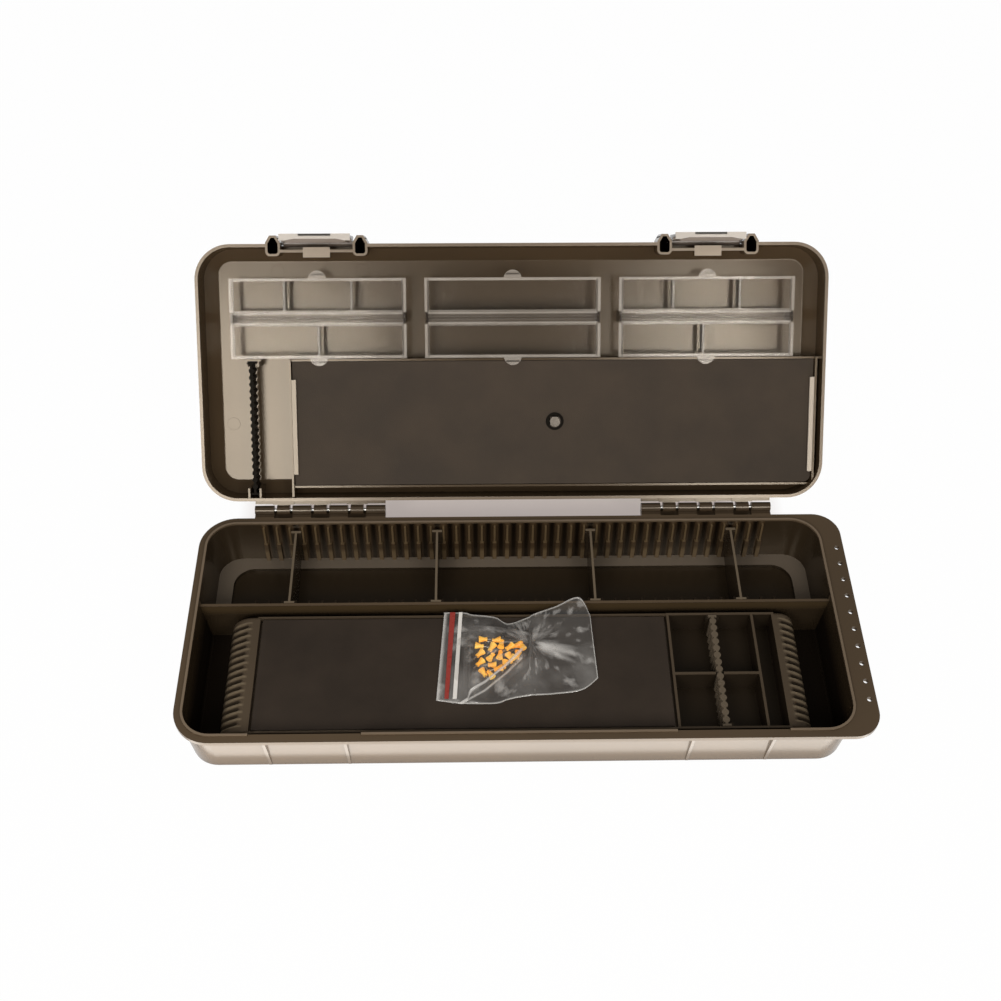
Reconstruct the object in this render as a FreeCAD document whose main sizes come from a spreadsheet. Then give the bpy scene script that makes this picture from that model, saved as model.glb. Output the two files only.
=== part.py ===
"""Tackle box for rigs: a shallow base and a hinged lid, with loose dividers, a rig tray,
three small twin-flap boxes in the lid and a bag of rig pins.

Millimetres. The origin is the middle of the base's underside, +X along the box, +Y to the
hinges, +Z up. The lid stands open, so its pieces are made closed and then swung back.
"""
import FreeCAD, Part
import math
import os
import re
import Sketcher

Vector = FreeCAD.Vector
Rotation = FreeCAD.Rotation
Placement = FreeCAD.Placement
X_AXIS = Vector(1, 0, 0)
Y_AXIS = Vector(0, 1, 0)
Z_AXIS = Vector(0, 0, 1)

# The driving dimensions, in millimetres and degrees.
DRIVING = {
    # the box as a whole
    "body_length": 364.0,
    "body_width": 148.6,
    "base_height": 35.0,
    "lid_height": 24.0,
    "corner_radius": 20.5,
    "open_angle": 131.3,
    # the base's moulding
    "base_wall": 2.4,
    "base_draft": 5.0,
    "floor_thick": 2.8,
    "bottom_round": 3.0,
    "floor_round": 1.4,
    "lip_thick": 2.6,
    "lip_overhang": 2.5,
    "tongue_rise": 1.2,
    "tongue_width": 1.3,
    # the needle flange at the right-hand end
    "flange_reach": 8.4,
    "flange_corner": 15.0,
    "hole_radius": 1.4,
    "hole_pitch": 11.25,
    "hole_inset": 3.8,
    "hole_shift": -1.2,
    # the rear compartment
    "partition_front": 14.4,
    "partition_thick": 1.8,
    "partition_drop": 4.0,
    "slot_pitch": 7.5,
    "rib_width": 1.1,
    "rib_foot_width": 2.3,
    "rib_reach": 2.0,
    "rib_foot_reach": 1.6,
    "rib_step": 15.0,
    "ledge_rise": 2.6,
    "ledge_width": 9.0,
    "well_radius": 12.0,
    # the front ribs beside each latch
    "front_rib_spacing": 42.4,
    "front_rib_thick": 1.6,
    # the hinges
    "hinge_place": 113.6,
    "hinge_length": 76.4,
    "hinge_out": 5.4,
    "hinge_up": 0.8,
    "knuckle_pitch": 21.6,
    "knuckle_radius": 2.7,
    "lid_knuckle": 7.5,
    "knuckle_gap": 1.6,
    "arm_flare": 2.4,
    "web_step": 1.0,
    "apron_drop": 3.2,
    "apron_thick": 1.8,
    "apron_reach": 1.4,
    "pin_radius": 1.0,
    "pin_play": 0.06,
    # the lid's moulding
    "lid_wall": 1.8,
    "lid_draft": 3.0,
    "lid_round": 9.5,
    "ceiling_round": 1.0,
    "cove_depth": 7.0,
    "cove_angle": 45.0,
    "panel_corner": 8.0,
    "seam_gap": 0.2,
    "bay_wall": 1.2,
    "bay_edge": 4.9,
    "board_bay_left": 130.1,
    "board_bay_right": 177.6,
    "board_bay_front": 8.4,
    "board_bay_back": 67.1,
    # the latches and the ears that carry them
    "latch_place": 112.0,
    "latch_width": 40.0,
    "ear_span": 58.2,
    "ear_width": 8.4,
    "ear_front": 79.0,
    "ear_back": 67.4,
    "ear_height": 17.0,
    "ear_wall": 1.3,
    "ear_bevel_across": 2.4,
    "ear_bevel_along": 4.0,
    "recess_front": 71.0,
    "latch_out": 0.6,
    "latch_up": 11.5,
    "latch_drop": 9.5,
    "latch_gap": 2.6,
    "latch_thick": 1.8,
    "latch_barrel": 2.3,
    "grip_height": 2.2,
    "grip_arch": 1.9,
    "grip_slot": 18.0,
    "boss_width": 15.4,
    "hook_width": 34.0,
    "hook_tip": 74.9,
    "hook_top": 3.5,
    "hook_deep": 2.5,
    # the rig tray in the front of the base
    "tray_left": 160.0,
    "tray_right": 157.0,
    "tray_front": 64.8,
    "tray_back": 9.7,
    "tray_drop": 7.0,
    "tray_wall": 2.0,
    "tray_round": 2.4,
    "rest_gap": 0.2,
    "left_shoulder": 13.0,
    "right_shoulder": 10.0,
    "groove_pitch": 4.4,
    "groove_radius": 1.9,
    "groove_depth": 1.5,
    "groove_angle": 58.0,
    "foam_left": 143.0,
    "foam_right": 84.4,
    "foam_thick": 3.4,
    "foam_gap": 1.0,
    "bay_margin": 1.5,
    "cell_floor": 13.5,
    "cell_wall": 1.4,
    "cross_wall": 30.2,
    "cells_right": 131.7,
    "slim_right": 143.6,
    "bead_place": 110.3,
    "bead_pitch": 4.5,
    "bead_radius": 1.9,
    "bead_web": 1.4,
    "tee_width": 4.8,
    "tee_thick": 1.2,
    # the small boxes in the lid
    "mini_pitch": 112.4,
    "mini_length": 101.8,
    "mini_width": 46.0,
    "mini_middle": 31.9,
    "mini_tray_height": 17.6,
    "mini_wall": 1.3,
    "mini_floor": 1.2,
    "mini_overhang": 0.45,
    "mini_round": 2.5,
    "flap_thick": 1.3,
    "flap_gap": 0.3,
    "flap_border": 1.6,
    "flap_barrel": 1.2,
    "flap_spacing": 1.6,
    "stud_radius": 0.7,
    "tab_radius": 5.2,
    "tab_reach": 4.4,
    # the strip and the board in the lid
    "strip_place": 151.9,
    "strip_pitch": 4.0,
    "strip_radius": 1.5,
    "board_thick": 2.6,
    "board_lip": 2.6,
    "stud_place": 24.5,
    "stud_back": 28.6,
    "dome_radius": 3.8,
    "dome_height": 2.4,
    "ring_radius": 5.2,
    "shank_radius": 1.5,
    "boss_radius": 3.2,
    "boss_depth": 7.0,
    # the bag of pins
    "pin_head": 1.95,
    "pin_head_length": 4.6,
    "pin_needle": 2.8,
    "needle_radius": 0.35,
}

# Lengths that follow from the driving dimensions.
DERIVED = {
    "half_length": "body_length / 2",
    "half_width": "body_width / 2",
    "wall_half_length": "half_length - lip_overhang",
    "wall_half_width": "half_width - lip_overhang",
    "wall_radius": "corner_radius - lip_overhang",
    "cavity_half_length": "wall_half_length - base_wall",
    "cavity_half_width": "wall_half_width - base_wall",
    "cavity_radius": "wall_radius - base_wall",
    "flange_edge": "half_length + flange_reach",
    "lip_under": "base_height - lip_thick",
    "partition_back": "partition_front + partition_thick",
    "partition_top": "base_height - partition_drop",
    "ledge_top": "floor_thick + ledge_rise",
    "rib_change": "base_height - rib_step",
    "axis_back": "half_width + hinge_out",
    "axis_up": "base_height + hinge_up",
    "lid_seam": "base_height + seam_gap",
    "lid_top": "base_height + lid_height",
    "ceiling": "lid_top - lid_wall",
    "cove_foot": "ceiling - cove_depth",
    "bay_edge_up": "base_height + bay_edge",
    "ear_top": "base_height + ear_height",
    "recess_half": "ear_span / 2 - ear_width",
    "pivot_front": "half_width + latch_out",
    "pivot_up": "base_height + latch_up",
    "tray_top": "base_height - tray_drop",
    "tray_foot": "floor_thick + rest_gap",
    "foam_floor": "tray_top - foam_thick - 0.5",
    "bay_front": "tray_front - bay_margin",
    "bay_back": "tray_back - bay_margin",
    "foam_top": "foam_floor + 0.1 + foam_thick",
    "board_face": "bay_edge_up + 0.1",
    "board_rear": "board_face + board_thick",
    "mini_foot": "ceiling - rest_gap",
    "mini_rim": "mini_foot - mini_tray_height",
    "flap_axis": "mini_rim - flap_gap + 0.2",
    "flap_inner": "mini_rim - flap_gap",
    "flap_face": "flap_inner - flap_thick",
}

SHEET_NAME = "sizes"
doc = FreeCAD.newDocument("rig_box")
sheet = doc.addObject("Spreadsheet::Sheet", SHEET_NAME)
for row, (alias, value) in enumerate(DRIVING.items(), start=1):
    sheet.set(f"A{row}", alias)
    sheet.set(f"B{row}", str(value))
    sheet.setAlias(f"B{row}", alias)
doc.recompute()


def formula(text):
    """Write out the derived lengths in a formula and point each name at the sheet."""
    def word(match):
        name = match.group()
        if name in DERIVED:
            return f"({formula(DERIVED[name])})"
        return f"{SHEET_NAME}.{name}" if name in DRIVING else name
    return re.sub(r"[a-z_]+", word, str(text))


def number(text):
    """The value of a formula now."""
    return float(sheet.evalExpression(formula(text)))


def bind(thing, name, text):
    thing.setExpression(name, formula(text))


def bind_place(thing, x, y, z):
    for axis, text in zip("xyz", (x, y, z)):
        bind(thing, f".Placement.Base.{axis}", text)


# Plain solids, bound to the sheet

def block(name, x, y, z):
    """A box from a low to a high formula on each axis."""
    box = doc.addObject("Part::Box", name)
    for side, (low, high) in zip(("Length", "Width", "Height"), (x, y, z)):
        bind(box, side, f"({high}) - ({low})")
    bind_place(box, x[0], y[0], z[0])
    return box


def rod(name, axis, start, length, radius):
    """A cylinder along an axis from a start point."""
    cylinder = doc.addObject("Part::Cylinder", name)
    cylinder.Placement = Placement(Vector(), Rotation(Z_AXIS, axis))
    bind(cylinder, "Radius", radius)
    bind(cylinder, "Height", length)
    bind_place(cylinder, *start)
    return cylinder


def cone(name, axis, start, length, radius_start, radius_end):
    """A cone or a frustum along an axis from a start point."""
    frustum = doc.addObject("Part::Cone", name)
    frustum.Placement = Placement(Vector(), Rotation(Z_AXIS, axis))
    bind(frustum, "Radius1", radius_start)
    bind(frustum, "Radius2", radius_end)
    bind(frustum, "Height", length)
    bind_place(frustum, *start)
    return frustum


def wedge(name, foot, head):
    """A block whose outline changes from a foot to a head, each (x pair, y pair, z)."""
    solid = doc.addObject("Part::Wedge", name)
    solid.Placement = Placement(Vector(), Rotation(X_AXIS, 90))
    for mark, (x, y, z) in (("", foot), ("2", head)):
        bind(solid, f"X{mark}min", x[0])
        bind(solid, f"X{mark}max", x[1])
        bind(solid, f"Z{mark}min", f"-({y[1]})")
        bind(solid, f"Z{mark}max", f"-({y[0]})")
    bind(solid, "Ymin", foot[2])
    bind(solid, "Ymax", head[2])
    return solid


def fuse(name, parts):
    joined = doc.addObject("Part::MultiFuse", name)
    joined.Shapes = parts
    joined.Refine = True
    return joined


def cut(name, base, tools):
    """Take tools away from a base."""
    tool = tools[0] if len(tools) == 1 else fuse(f"{name}_tools", tools)
    rest = doc.addObject("Part::Cut", name)
    rest.Base = base
    rest.Tool = tool
    rest.Refine = True
    return rest


# Moulded solids with round corners

def moulding(name):
    return doc.addObject("PartDesign::Body", name)


def plane_sketch(body, name, role, level):
    """An empty sketch on one of the body's own planes, raised to a level."""
    sketch = body.newObject("Sketcher::SketchObject", name)
    plane = next(item for item in body.Origin.OriginFeatures if item.Role == role)
    sketch.AttachmentSupport = (plane, "")
    sketch.MapMode = "FlatFace"
    bind(sketch, ".AttachmentOffset.Base.z", level)
    return sketch


def name_constraint(sketch, name, constraint, text):
    """Add a dimension and bind it to the sheet."""
    index = sketch.addConstraint(constraint)
    sketch.renameConstraint(index, name)
    bind(sketch, f"Constraints.{name}", text)


def outline(body, name, x, y, radius, level):
    """A rectangle with round corners between two formulas on X and on Y."""
    sketch = plane_sketch(body, name, "XY_Plane", level)
    left, right = number(x[0]), number(x[1])
    front, back = number(y[0]), number(y[1])
    round_ = number(radius)
    ends = [(left + round_, front), (right - round_, front),
            (right, front + round_), (right, back - round_),
            (right - round_, back), (left + round_, back),
            (left, back - round_), (left, front + round_)]
    for index in range(0, 8, 2):
        start, stop = ends[index], ends[index + 1]
        sketch.addGeometry(Part.LineSegment(Vector(*start, 0), Vector(*stop, 0)))
    centres = [(right - round_, front + round_), (right - round_, back - round_),
               (left + round_, back - round_), (left + round_, front + round_)]
    for index, centre in enumerate(centres):
        circle = Part.Circle(Vector(*centre, 0), Z_AXIS, round_)
        turn = math.radians(90 * index - 90)
        sketch.addGeometry(Part.ArcOfCircle(circle, turn, turn + math.pi / 2))
    for side in range(4):
        sketch.addConstraint(Sketcher.Constraint("Tangent", side, 2, 4 + side, 1))
        sketch.addConstraint(Sketcher.Constraint("Tangent", 4 + side, 2, (side + 1) % 4, 1))
        way = "Horizontal" if side % 2 == 0 else "Vertical"
        sketch.addConstraint(Sketcher.Constraint(way, side))
    for arc in (5, 6, 7):
        sketch.addConstraint(Sketcher.Constraint("Equal", 4, arc))
    name_constraint(sketch, "corner", Sketcher.Constraint("Radius", 4, round_), radius)
    for label, way, side, place, text in (("left", "DistanceX", 3, left, x[0]),
                                          ("right", "DistanceX", 1, right, x[1]),
                                          ("front", "DistanceY", 0, front, y[0]),
                                          ("back", "DistanceY", 2, back, y[1])):
        rule = Sketcher.Constraint(way, -1, 1, side, 1, place)
        name_constraint(sketch, label, rule, text)
    return sketch


def grow(body, name, sketch, depth, draft="0", down=False):
    """Pad a sketch, narrowing by the draft away from it."""
    pad = body.newObject("PartDesign::Pad", name)
    pad.Profile = sketch
    bind(pad, "Length", depth)
    pad.Reversed = down
    bind(pad, "TaperAngle", f"-({draft})")
    return pad


def sink(body, name, sketch, depth, draft="0", up=False):
    """Pocket a sketch into the body, narrowing by the draft."""
    pocket = body.newObject("PartDesign::Pocket", name)
    pocket.Profile = sketch
    bind(pocket, "Length", depth)
    pocket.Reversed = up
    bind(pocket, "TaperAngle", f"-({draft})")
    doc.recompute()
    before = pocket.BaseFeature.Shape.Volume
    if pocket.Shape.Volume > before - 1:
        raise RuntimeError(f"{name} cuts nothing")
    return pocket


def round_level(body, name, feature, radius, level, chooser=None):
    """Fillet the edges of a feature that lie flat at one level."""
    doc.recompute()
    height = number(level)
    chosen = []
    for index, edge in enumerate(feature.Shape.Edges, start=1):
        box = edge.BoundBox
        flat = abs(box.ZMin - height) < 1e-4 and abs(box.ZMax - height) < 1e-4
        if flat and (chooser is None or chooser(box)):
            chosen.append(f"Edge{index}")
    fillet = body.newObject("PartDesign::Fillet", name)
    fillet.Base = (feature, chosen)
    bind(fillet, "Radius", radius)
    doc.recompute()
    return fillet


NODES = []


def node(thing, label):
    """Name a finished sub-part."""
    thing.Label = label
    NODES.append(thing)
    return thing


# How the open lid stands: turned back about the hinge axis.
HINGE_CENTRE = Vector(0, number("axis_back"), number("axis_up"))
LID_OPEN = Placement(Vector(), Rotation(X_AXIS, -number("open_angle")), HINGE_CENTRE)


def lid_node(thing, label):
    """Name a sub-part that was made with the lid closed, and swing it open."""
    thing.Placement = LID_OPEN
    return node(thing, label)


HANDS = {"left": -1, "right": 1}


# The base: a drafted tub with a flat lip, a tongue round its mouth and a rear compartment

def base_tub():
    body = moulding("base_tub")
    length = ("-half_length", "half_length")
    width = ("-half_width", "half_width")
    lip = outline(body, "lip_outline", length, width, "corner_radius", "lip_under")
    grow(body, "lip_pad", lip, "lip_thick")
    flange = outline(body, "flange_outline", ("0", "flange_edge"), width, "flange_corner",
                     "lip_under")
    grow(body, "flange_pad", flange, "lip_thick")
    length = ("-wall_half_length", "wall_half_length")
    width = ("-wall_half_width", "wall_half_width")
    wall = outline(body, "wall_outline", length, width, "wall_radius", "lip_under")
    shell = grow(body, "wall_pad", wall, "lip_under", "base_draft", down=True)
    rounded = round_level(body, "bottom_fillet", shell, "bottom_round", "0")
    length = ("-cavity_half_length - tongue_width", "cavity_half_length + tongue_width")
    width = ("-cavity_half_width - tongue_width", "cavity_half_width + tongue_width")
    tongue = outline(body, "tongue_outline", length, width, "cavity_radius + tongue_width",
                     "base_height")
    grow(body, "tongue_pad", tongue, "tongue_rise")
    length = ("-cavity_half_length", "cavity_half_length")
    width = ("-cavity_half_width", "cavity_half_width")
    mouth = outline(body, "mouth_outline", length, width, "cavity_radius",
                    "base_height + tongue_rise")
    sink(body, "mouth_pocket", mouth, "tongue_rise + 0.01")
    inside = outline(body, "inside_outline", length, width, "cavity_radius", "base_height")
    cavity = sink(body, "inside_pocket", inside, "base_height - floor_thick", "base_draft")
    round_level(body, "floor_fillet", cavity, "floor_round", "floor_thick")
    return body


def lean(half, level):
    """How far a drafted inner wall stands from the middle at a level."""
    return f"{half} - (base_height - ({level})) * tan(base_draft)"


def rear_compartment():
    """The partition, the ledge round the rear floor, and the ribs that hold the dividers."""
    bite = "base_wall / 2"
    parts = []
    foot = f"{lean('cavity_half_length', 'floor_thick')} + {bite}"
    head = f"{lean('cavity_half_length', 'partition_top')} + {bite}"
    y = ("partition_front", "partition_back")
    parts.append(wedge("partition", ((f"-({foot})", foot), y, "floor_thick - 0.5"),
                       ((f"-({head})", head), y, "partition_top")))
    ledge = f"{lean('cavity_half_length', 'ledge_top')} + 0.9"
    ledge_back = f"{lean('cavity_half_width', 'ledge_top')} + 0.9"
    corner = block("ledge", (f"-({ledge})", ledge), ("partition_back - 0.5", ledge_back),
                   ("floor_thick - 0.3", "ledge_top"))
    round_corner = moulding("ledge_round")
    reach = outline(round_corner, "ledge_outline", (f"-({ledge})", ledge),
                    (f"-({ledge_back})", ledge_back),
                    f"{lean('cavity_radius', 'ledge_top')} + 0.9", "floor_thick - 0.3")
    grow(round_corner, "ledge_pad", reach, "ledge_rise + 0.3")
    shaped = doc.addObject("Part::MultiCommon", "ledge_shaped")
    shaped.Shapes = [corner, round_corner]
    parts.append(shaped)
    ribs_each_way = 20
    for index in range(2 * ribs_each_way):
        middle = f"({index} - {ribs_each_way} + 0.5) * slot_pitch"
        x = (f"{middle} - rib_width / 2", f"{middle} + rib_width / 2")
        wide = (f"{middle} - rib_foot_width / 2", f"{middle} + rib_foot_width / 2")
        low = lean("cavity_half_width", "ledge_top")
        change = lean("cavity_half_width", "rib_change")
        high = lean("cavity_half_width", "base_height - 1.5")
        parts.append(wedge(f"rear_rib_{index}",
                           (x, (f"{change} - rib_reach", f"{change} + {bite}"), "rib_change"),
                           (x, (f"{high} - rib_reach", f"{high} + {bite}"),
                            "base_height - 1.5")))
        parts.append(wedge(f"rear_rib_foot_{index}",
                           (wide, (f"{low} - rib_foot_reach", f"{low} + {bite}"),
                            "ledge_top - 0.3"),
                           (wide, (f"{change} - rib_reach - 0.4", f"{change} + {bite}"),
                            "rib_change")))
        parts.append(block(f"partition_rib_{index}", x,
                           ("partition_back - 0.3", "partition_back + rib_reach"),
                           ("ledge_top - 0.3", "partition_top")))
    return parts


def front_ribs():
    """Four gussets under the lip, one each side of a latch."""
    parts = []
    for hand, sign in HANDS.items():
        for side, way in HANDS.items():
            middle = f"{sign} * latch_place + {way} * front_rib_spacing / 2"
            x = (f"{middle} - front_rib_thick / 2", f"{middle} + front_rib_thick / 2")
            face = "wall_half_width - (lip_under - bottom_round) * tan(base_draft)"
            parts.append(wedge(
                f"front_rib_{hand}_{side}",
                (x, (f"-({face} + 0.5)", f"-({face} - 0.5)"), "bottom_round"),
                (x, ("-half_width", "-wall_half_width + 0.5"), "lip_under + 0.2")))
    return parts


def knuckle_spans():
    """Where the base's four knuckles and the lid's three lie, from a hinge's middle."""
    half = "lid_knuckle / 2"
    clear = f"{half} + knuckle_gap"
    base_spans = [("-hinge_length / 2", f"-knuckle_pitch - ({clear})"),
                  (f"-knuckle_pitch + {clear}", f"-({clear})"),
                  (clear, f"knuckle_pitch - ({clear})"),
                  (f"knuckle_pitch + {clear}", "hinge_length / 2")]
    lid_spans = [(f"{step} * knuckle_pitch - {half}", f"{step} * knuckle_pitch + {half}")
                 for step in (-1, 0, 1)]
    return base_spans, lid_spans


BASE_SPANS, LID_SPANS = knuckle_spans()


def base_knuckles():
    """The base's knuckles, each on an arm, with a thin apron under each whole hinge."""
    parts = []
    for hand, sign in HANDS.items():
        middle = f"{sign} * hinge_place"
        parts.append(block(f"apron_{hand}",
                           (f"{middle} - hinge_length / 2", f"{middle} + hinge_length / 2"),
                           ("wall_half_width - 0.6", "axis_back + apron_reach"),
                           ("axis_up - apron_drop - apron_thick", "axis_up - apron_drop")))
        for index, (low, high) in enumerate(BASE_SPANS):
            x = (f"{sign} * hinge_place + {low}", f"{sign} * hinge_place + {high}")
            name = f"base_knuckle_{hand}_{index}"
            parts.append(rod(name, X_AXIS, (x[0], "axis_back", "axis_up"),
                             f"({high}) - ({low})", "knuckle_radius"))
            parts.append(block(f"{name}_arm", x, ("wall_half_width - 0.6", "axis_back"),
                               ("axis_up - apron_drop - 0.2", "base_height - 0.2")))
    return parts


def hinge_bores(name, radius):
    return [rod(f"{name}_{hand}", X_AXIS,
                (f"{sign} * hinge_place - hinge_length / 2 - 1", "axis_back", "axis_up"),
                "hinge_length + 2", radius)
            for hand, sign in HANDS.items()]


def base_cuts():
    """The floor's well, the gaps in the tongue, and the row of needle holes in the flange."""
    tools = []
    well = moulding("well")
    half = f"{lean('cavity_half_length', 'ledge_top')} - ledge_width"
    back = f"{lean('cavity_half_width', 'ledge_top')} - ledge_width + rib_foot_reach"
    mouth = outline(well, "well_outline", (f"-({half})", half),
                    ("partition_back + rib_reach", back), "well_radius", "floor_thick")
    grow(well, "well_pad", mouth, "ledge_rise + 1")
    tools.append(well)
    for hand, sign in HANDS.items():
        middle = f"{sign} * latch_place"
        tools.append(block(f"tongue_gap_{hand}",
                           (f"{middle} - ear_span / 2 - 0.4", f"{middle} + ear_span / 2 + 0.4"),
                           ("-half_width + 1", "-cavity_half_width + 0.5"),
                           ("base_height", "base_height + tongue_rise + 1")))
    hole_count = 10
    for index in range(hole_count):
        place = f"hole_shift + ({index} - {(hole_count - 1) / 2}) * hole_pitch"
        tools.append(rod(f"needle_hole_{index}", Z_AXIS,
                         ("flange_edge - hole_inset", place, "lip_under - 1"),
                         "lip_thick + 2", "hole_radius"))
    return tools + hinge_bores("base_bore", "pin_radius")


def base_shell():
    solids = [base_tub()] + rear_compartment() + front_ribs() + base_knuckles()
    whole = fuse("base_solids", solids)
    return node(cut("base_cut", whole, base_cuts()), "base_shell")


# Steel pins with a bevel at each end

def steel_pin(name, start, length, radius):
    """A pin along X; the bevels take the sharp edge off both ends."""
    bevel = "0.3"
    x, y, z = start
    shank = rod(f"{name}_shank", X_AXIS, (f"({x}) + {bevel}", y, z),
                f"({length}) - 2 * {bevel}", radius)
    near = cone(f"{name}_near", X_AXIS, (x, y, z), bevel, f"{radius} - 0.2", radius)
    far = cone(f"{name}_far", X_AXIS, (f"({x}) + ({length}) - {bevel}", y, z), bevel, radius,
               f"{radius} - 0.2")
    return fuse(name, [shank, near, far])


def hinge_pins():
    for hand, sign in HANDS.items():
        start = (f"{sign} * hinge_place - hinge_length / 2 + 0.4", "axis_back", "axis_up")
        pin = steel_pin(f"hinge_steel_{hand}", start, "hinge_length - 0.8", "pin_radius")
        node(pin, f"hinge_pin_{hand}")


# Four loose dividers with a cross bar at each end, between the ribs

def dividers():
    slots = (-17, -6, 6, 17)
    for index, slot in enumerate(slots, start=1):
        middle = f"{slot} * slot_pitch"
        web = (f"{middle} - 0.65", f"{middle} + 0.65")
        wide = (f"{middle} - slot_pitch / 2 + rib_width / 2 + 0.3",
                f"{middle} + slot_pitch / 2 - rib_width / 2 - 0.3")
        slim = (f"{middle} - slot_pitch / 2 + rib_foot_width / 2 + 0.3",
                f"{middle} + slot_pitch / 2 - rib_foot_width / 2 - 0.3")
        foot = "ledge_top + rest_gap"
        top = "partition_top"
        low_back = f"{lean('cavity_half_width', 'ledge_top')} - 0.3"
        step_back = f"{lean('cavity_half_width', 'rib_change')} - 0.3"
        well_back = f"{lean('cavity_half_width', 'ledge_top')} - ledge_width + rib_foot_reach"
        front = "partition_back + 0.3"
        parts = [
            block(f"web_{index}", web, (f"{front} + 0.5", f"{low_back} - 0.5"), (foot, top)),
            block(f"skirt_{index}", web, ("partition_back + rib_reach + 0.4",
                                          f"{well_back} - 0.6"), ("tray_foot", foot)),
            block(f"front_bar_{index}", wide, (front, f"{front} + tee_thick"), (foot, top)),
            block(f"low_bar_{index}", slim, (f"{low_back} - tee_thick", low_back),
                  (foot, "rib_change + 0.5")),
            block(f"high_bar_{index}", wide, (f"{step_back} - tee_thick - 0.4", step_back),
                  ("rib_change + 0.5", top)),
            block(f"high_web_{index}", web, (f"{low_back} - 1", f"{step_back} - 0.2"),
                  ("rib_change + 0.5", top)),
        ]
        node(fuse(f"divider_solid_{index}", parts), f"divider_{index}")


# A divider with beads along both faces, and a cross bar at each end

def bead_divider(name, place, y, z, web, radius, pitch, count):
    """The beads are upright round columns, evenly spaced along the web."""
    low, high = y
    bar = "tee_width / 2"
    parts = [
        block(f"{name}_web", (f"{place} - {web} / 2", f"{place} + {web} / 2"),
              (f"{low} + 0.4", f"{high} - 0.4"), z),
        block(f"{name}_front_bar", (f"{place} - {bar}", f"{place} + {bar}"),
              (low, f"{low} + tee_thick"), z),
        block(f"{name}_back_bar", (f"{place} - {bar}", f"{place} + {bar}"),
              (f"{high} - tee_thick", high), z),
    ]
    for index in range(count):
        along = f"(({low}) + ({high})) / 2 + ({index} - {(count - 1) / 2}) * {pitch}"
        parts.append(rod(f"{name}_bead_{index}", Z_AXIS, (place, along, z[0]),
                         f"({z[1]}) - ({z[0]})", radius))
    return fuse(name, parts)


# The rig tray: a deck with a round shoulder at each end, a foam bay and five cells

def tray_section(body):
    """The tray's section along the box: flat on top, with a round shoulder at each end."""
    sketch = plane_sketch(body, "tray_section", "XZ_Plane", "tray_front")
    left, right = -number("tray_left"), number("tray_right")
    foot, top = number("tray_foot"), number("tray_top")
    rise, fall = number("left_shoulder"), number("right_shoulder")
    corners = [(left, foot), (left, top - rise), (left + rise, top),
               (right - fall, top), (right, top - fall), (right, foot)]
    for start, stop in ((0, 1), (2, 3), (4, 5), (5, 0)):
        sketch.addGeometry(Part.LineSegment(Vector(*corners[start], 0),
                                            Vector(*corners[stop], 0)))
    left_arc = Part.Circle(Vector(left + rise, top - rise, 0), Z_AXIS, rise)
    right_arc = Part.Circle(Vector(right - fall, top - fall, 0), Z_AXIS, fall)
    sketch.addGeometry(Part.ArcOfCircle(left_arc, math.pi / 2, math.pi))
    sketch.addGeometry(Part.ArcOfCircle(right_arc, 0, math.pi / 2))
    rules = (("Tangent", 0, 2, 4, 2), ("Tangent", 4, 1, 1, 1), ("Tangent", 1, 2, 5, 2),
             ("Tangent", 5, 1, 2, 1), ("Coincident", 2, 2, 3, 1), ("Coincident", 3, 2, 0, 1),
             ("Vertical", 0), ("Horizontal", 1), ("Vertical", 2), ("Horizontal", 3))
    for rule in rules:
        sketch.addConstraint(Sketcher.Constraint(*rule))
    name_constraint(sketch, "rise", Sketcher.Constraint("Radius", 4, rise), "left_shoulder")
    name_constraint(sketch, "fall", Sketcher.Constraint("Radius", 5, fall), "right_shoulder")
    for label, way, line, place, text in (("left", "DistanceX", 0, left, "-tray_left"),
                                          ("right", "DistanceX", 2, right, "tray_right"),
                                          ("foot", "DistanceY", 3, foot, "tray_foot"),
                                          ("top", "DistanceY", 1, top, "tray_top")):
        rule = Sketcher.Constraint(way, -1, 1, line, 1, place)
        name_constraint(sketch, label, rule, text)
    return sketch


def tray_deck():
    """The thin deck, open underneath."""
    body = moulding("tray_deck")
    section = tray_section(body)
    deck = body.newObject("PartDesign::Pad", "deck_pad")
    deck.Profile = section
    bind(deck, "Length", "tray_front + tray_back")
    deck.Reversed = True
    doc.recompute()
    low = number("tray_foot") + 0.1
    rims = []
    for index, edge in enumerate(deck.Shape.Edges, start=1):
        box = edge.BoundBox
        if box.YLength < 1e-4 and box.ZMax > low:
            rims.append(f"Edge{index}")
    rounded = body.newObject("PartDesign::Fillet", "deck_fillet")
    rounded.Base = (deck, rims)
    bind(rounded, "Radius", "tray_round")
    doc.recompute()
    under = next(f"Face{index}" for index, face in enumerate(rounded.Shape.Faces, start=1)
                 if face.BoundBox.ZMax < low)
    hollow = body.newObject("PartDesign::Thickness", "deck_hollow")
    hollow.Base = (rounded, [under])
    bind(hollow, "Value", "tray_wall")
    hollow.Reversed = True
    doc.recompute()
    return body


def shoulder_grooves():
    """Round grooves cut across both shoulders, where the hook links lie."""
    tools = []
    groove_count = 15
    angle = math.radians(number("groove_angle"))
    for hand, sign in HANDS.items():
        edge, round_ = ("tray_left", "left_shoulder") if sign < 0 else (
            "tray_right", "right_shoulder")
        along = Vector(-sign * math.sin(angle), 0, math.cos(angle))
        out = f"({round_} + groove_radius - groove_depth)"
        half = "9"
        x = (f"{sign} * ({edge} - {round_} + {out} * cos(groove_angle)"
             f" + {half} * sin(groove_angle))")
        z = (f"tray_top - {round_} + {out} * sin(groove_angle)"
             f" - {half} * cos(groove_angle)")
        for index in range(groove_count):
            y = (f"(tray_back - tray_front) / 2"
                 f" + ({index} - {(groove_count - 1) / 2}) * groove_pitch")
            tools.append(rod(f"groove_{hand}_{index}", along, (x, y, z), f"2 * {half}",
                             "groove_radius"))
    return tools


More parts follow.
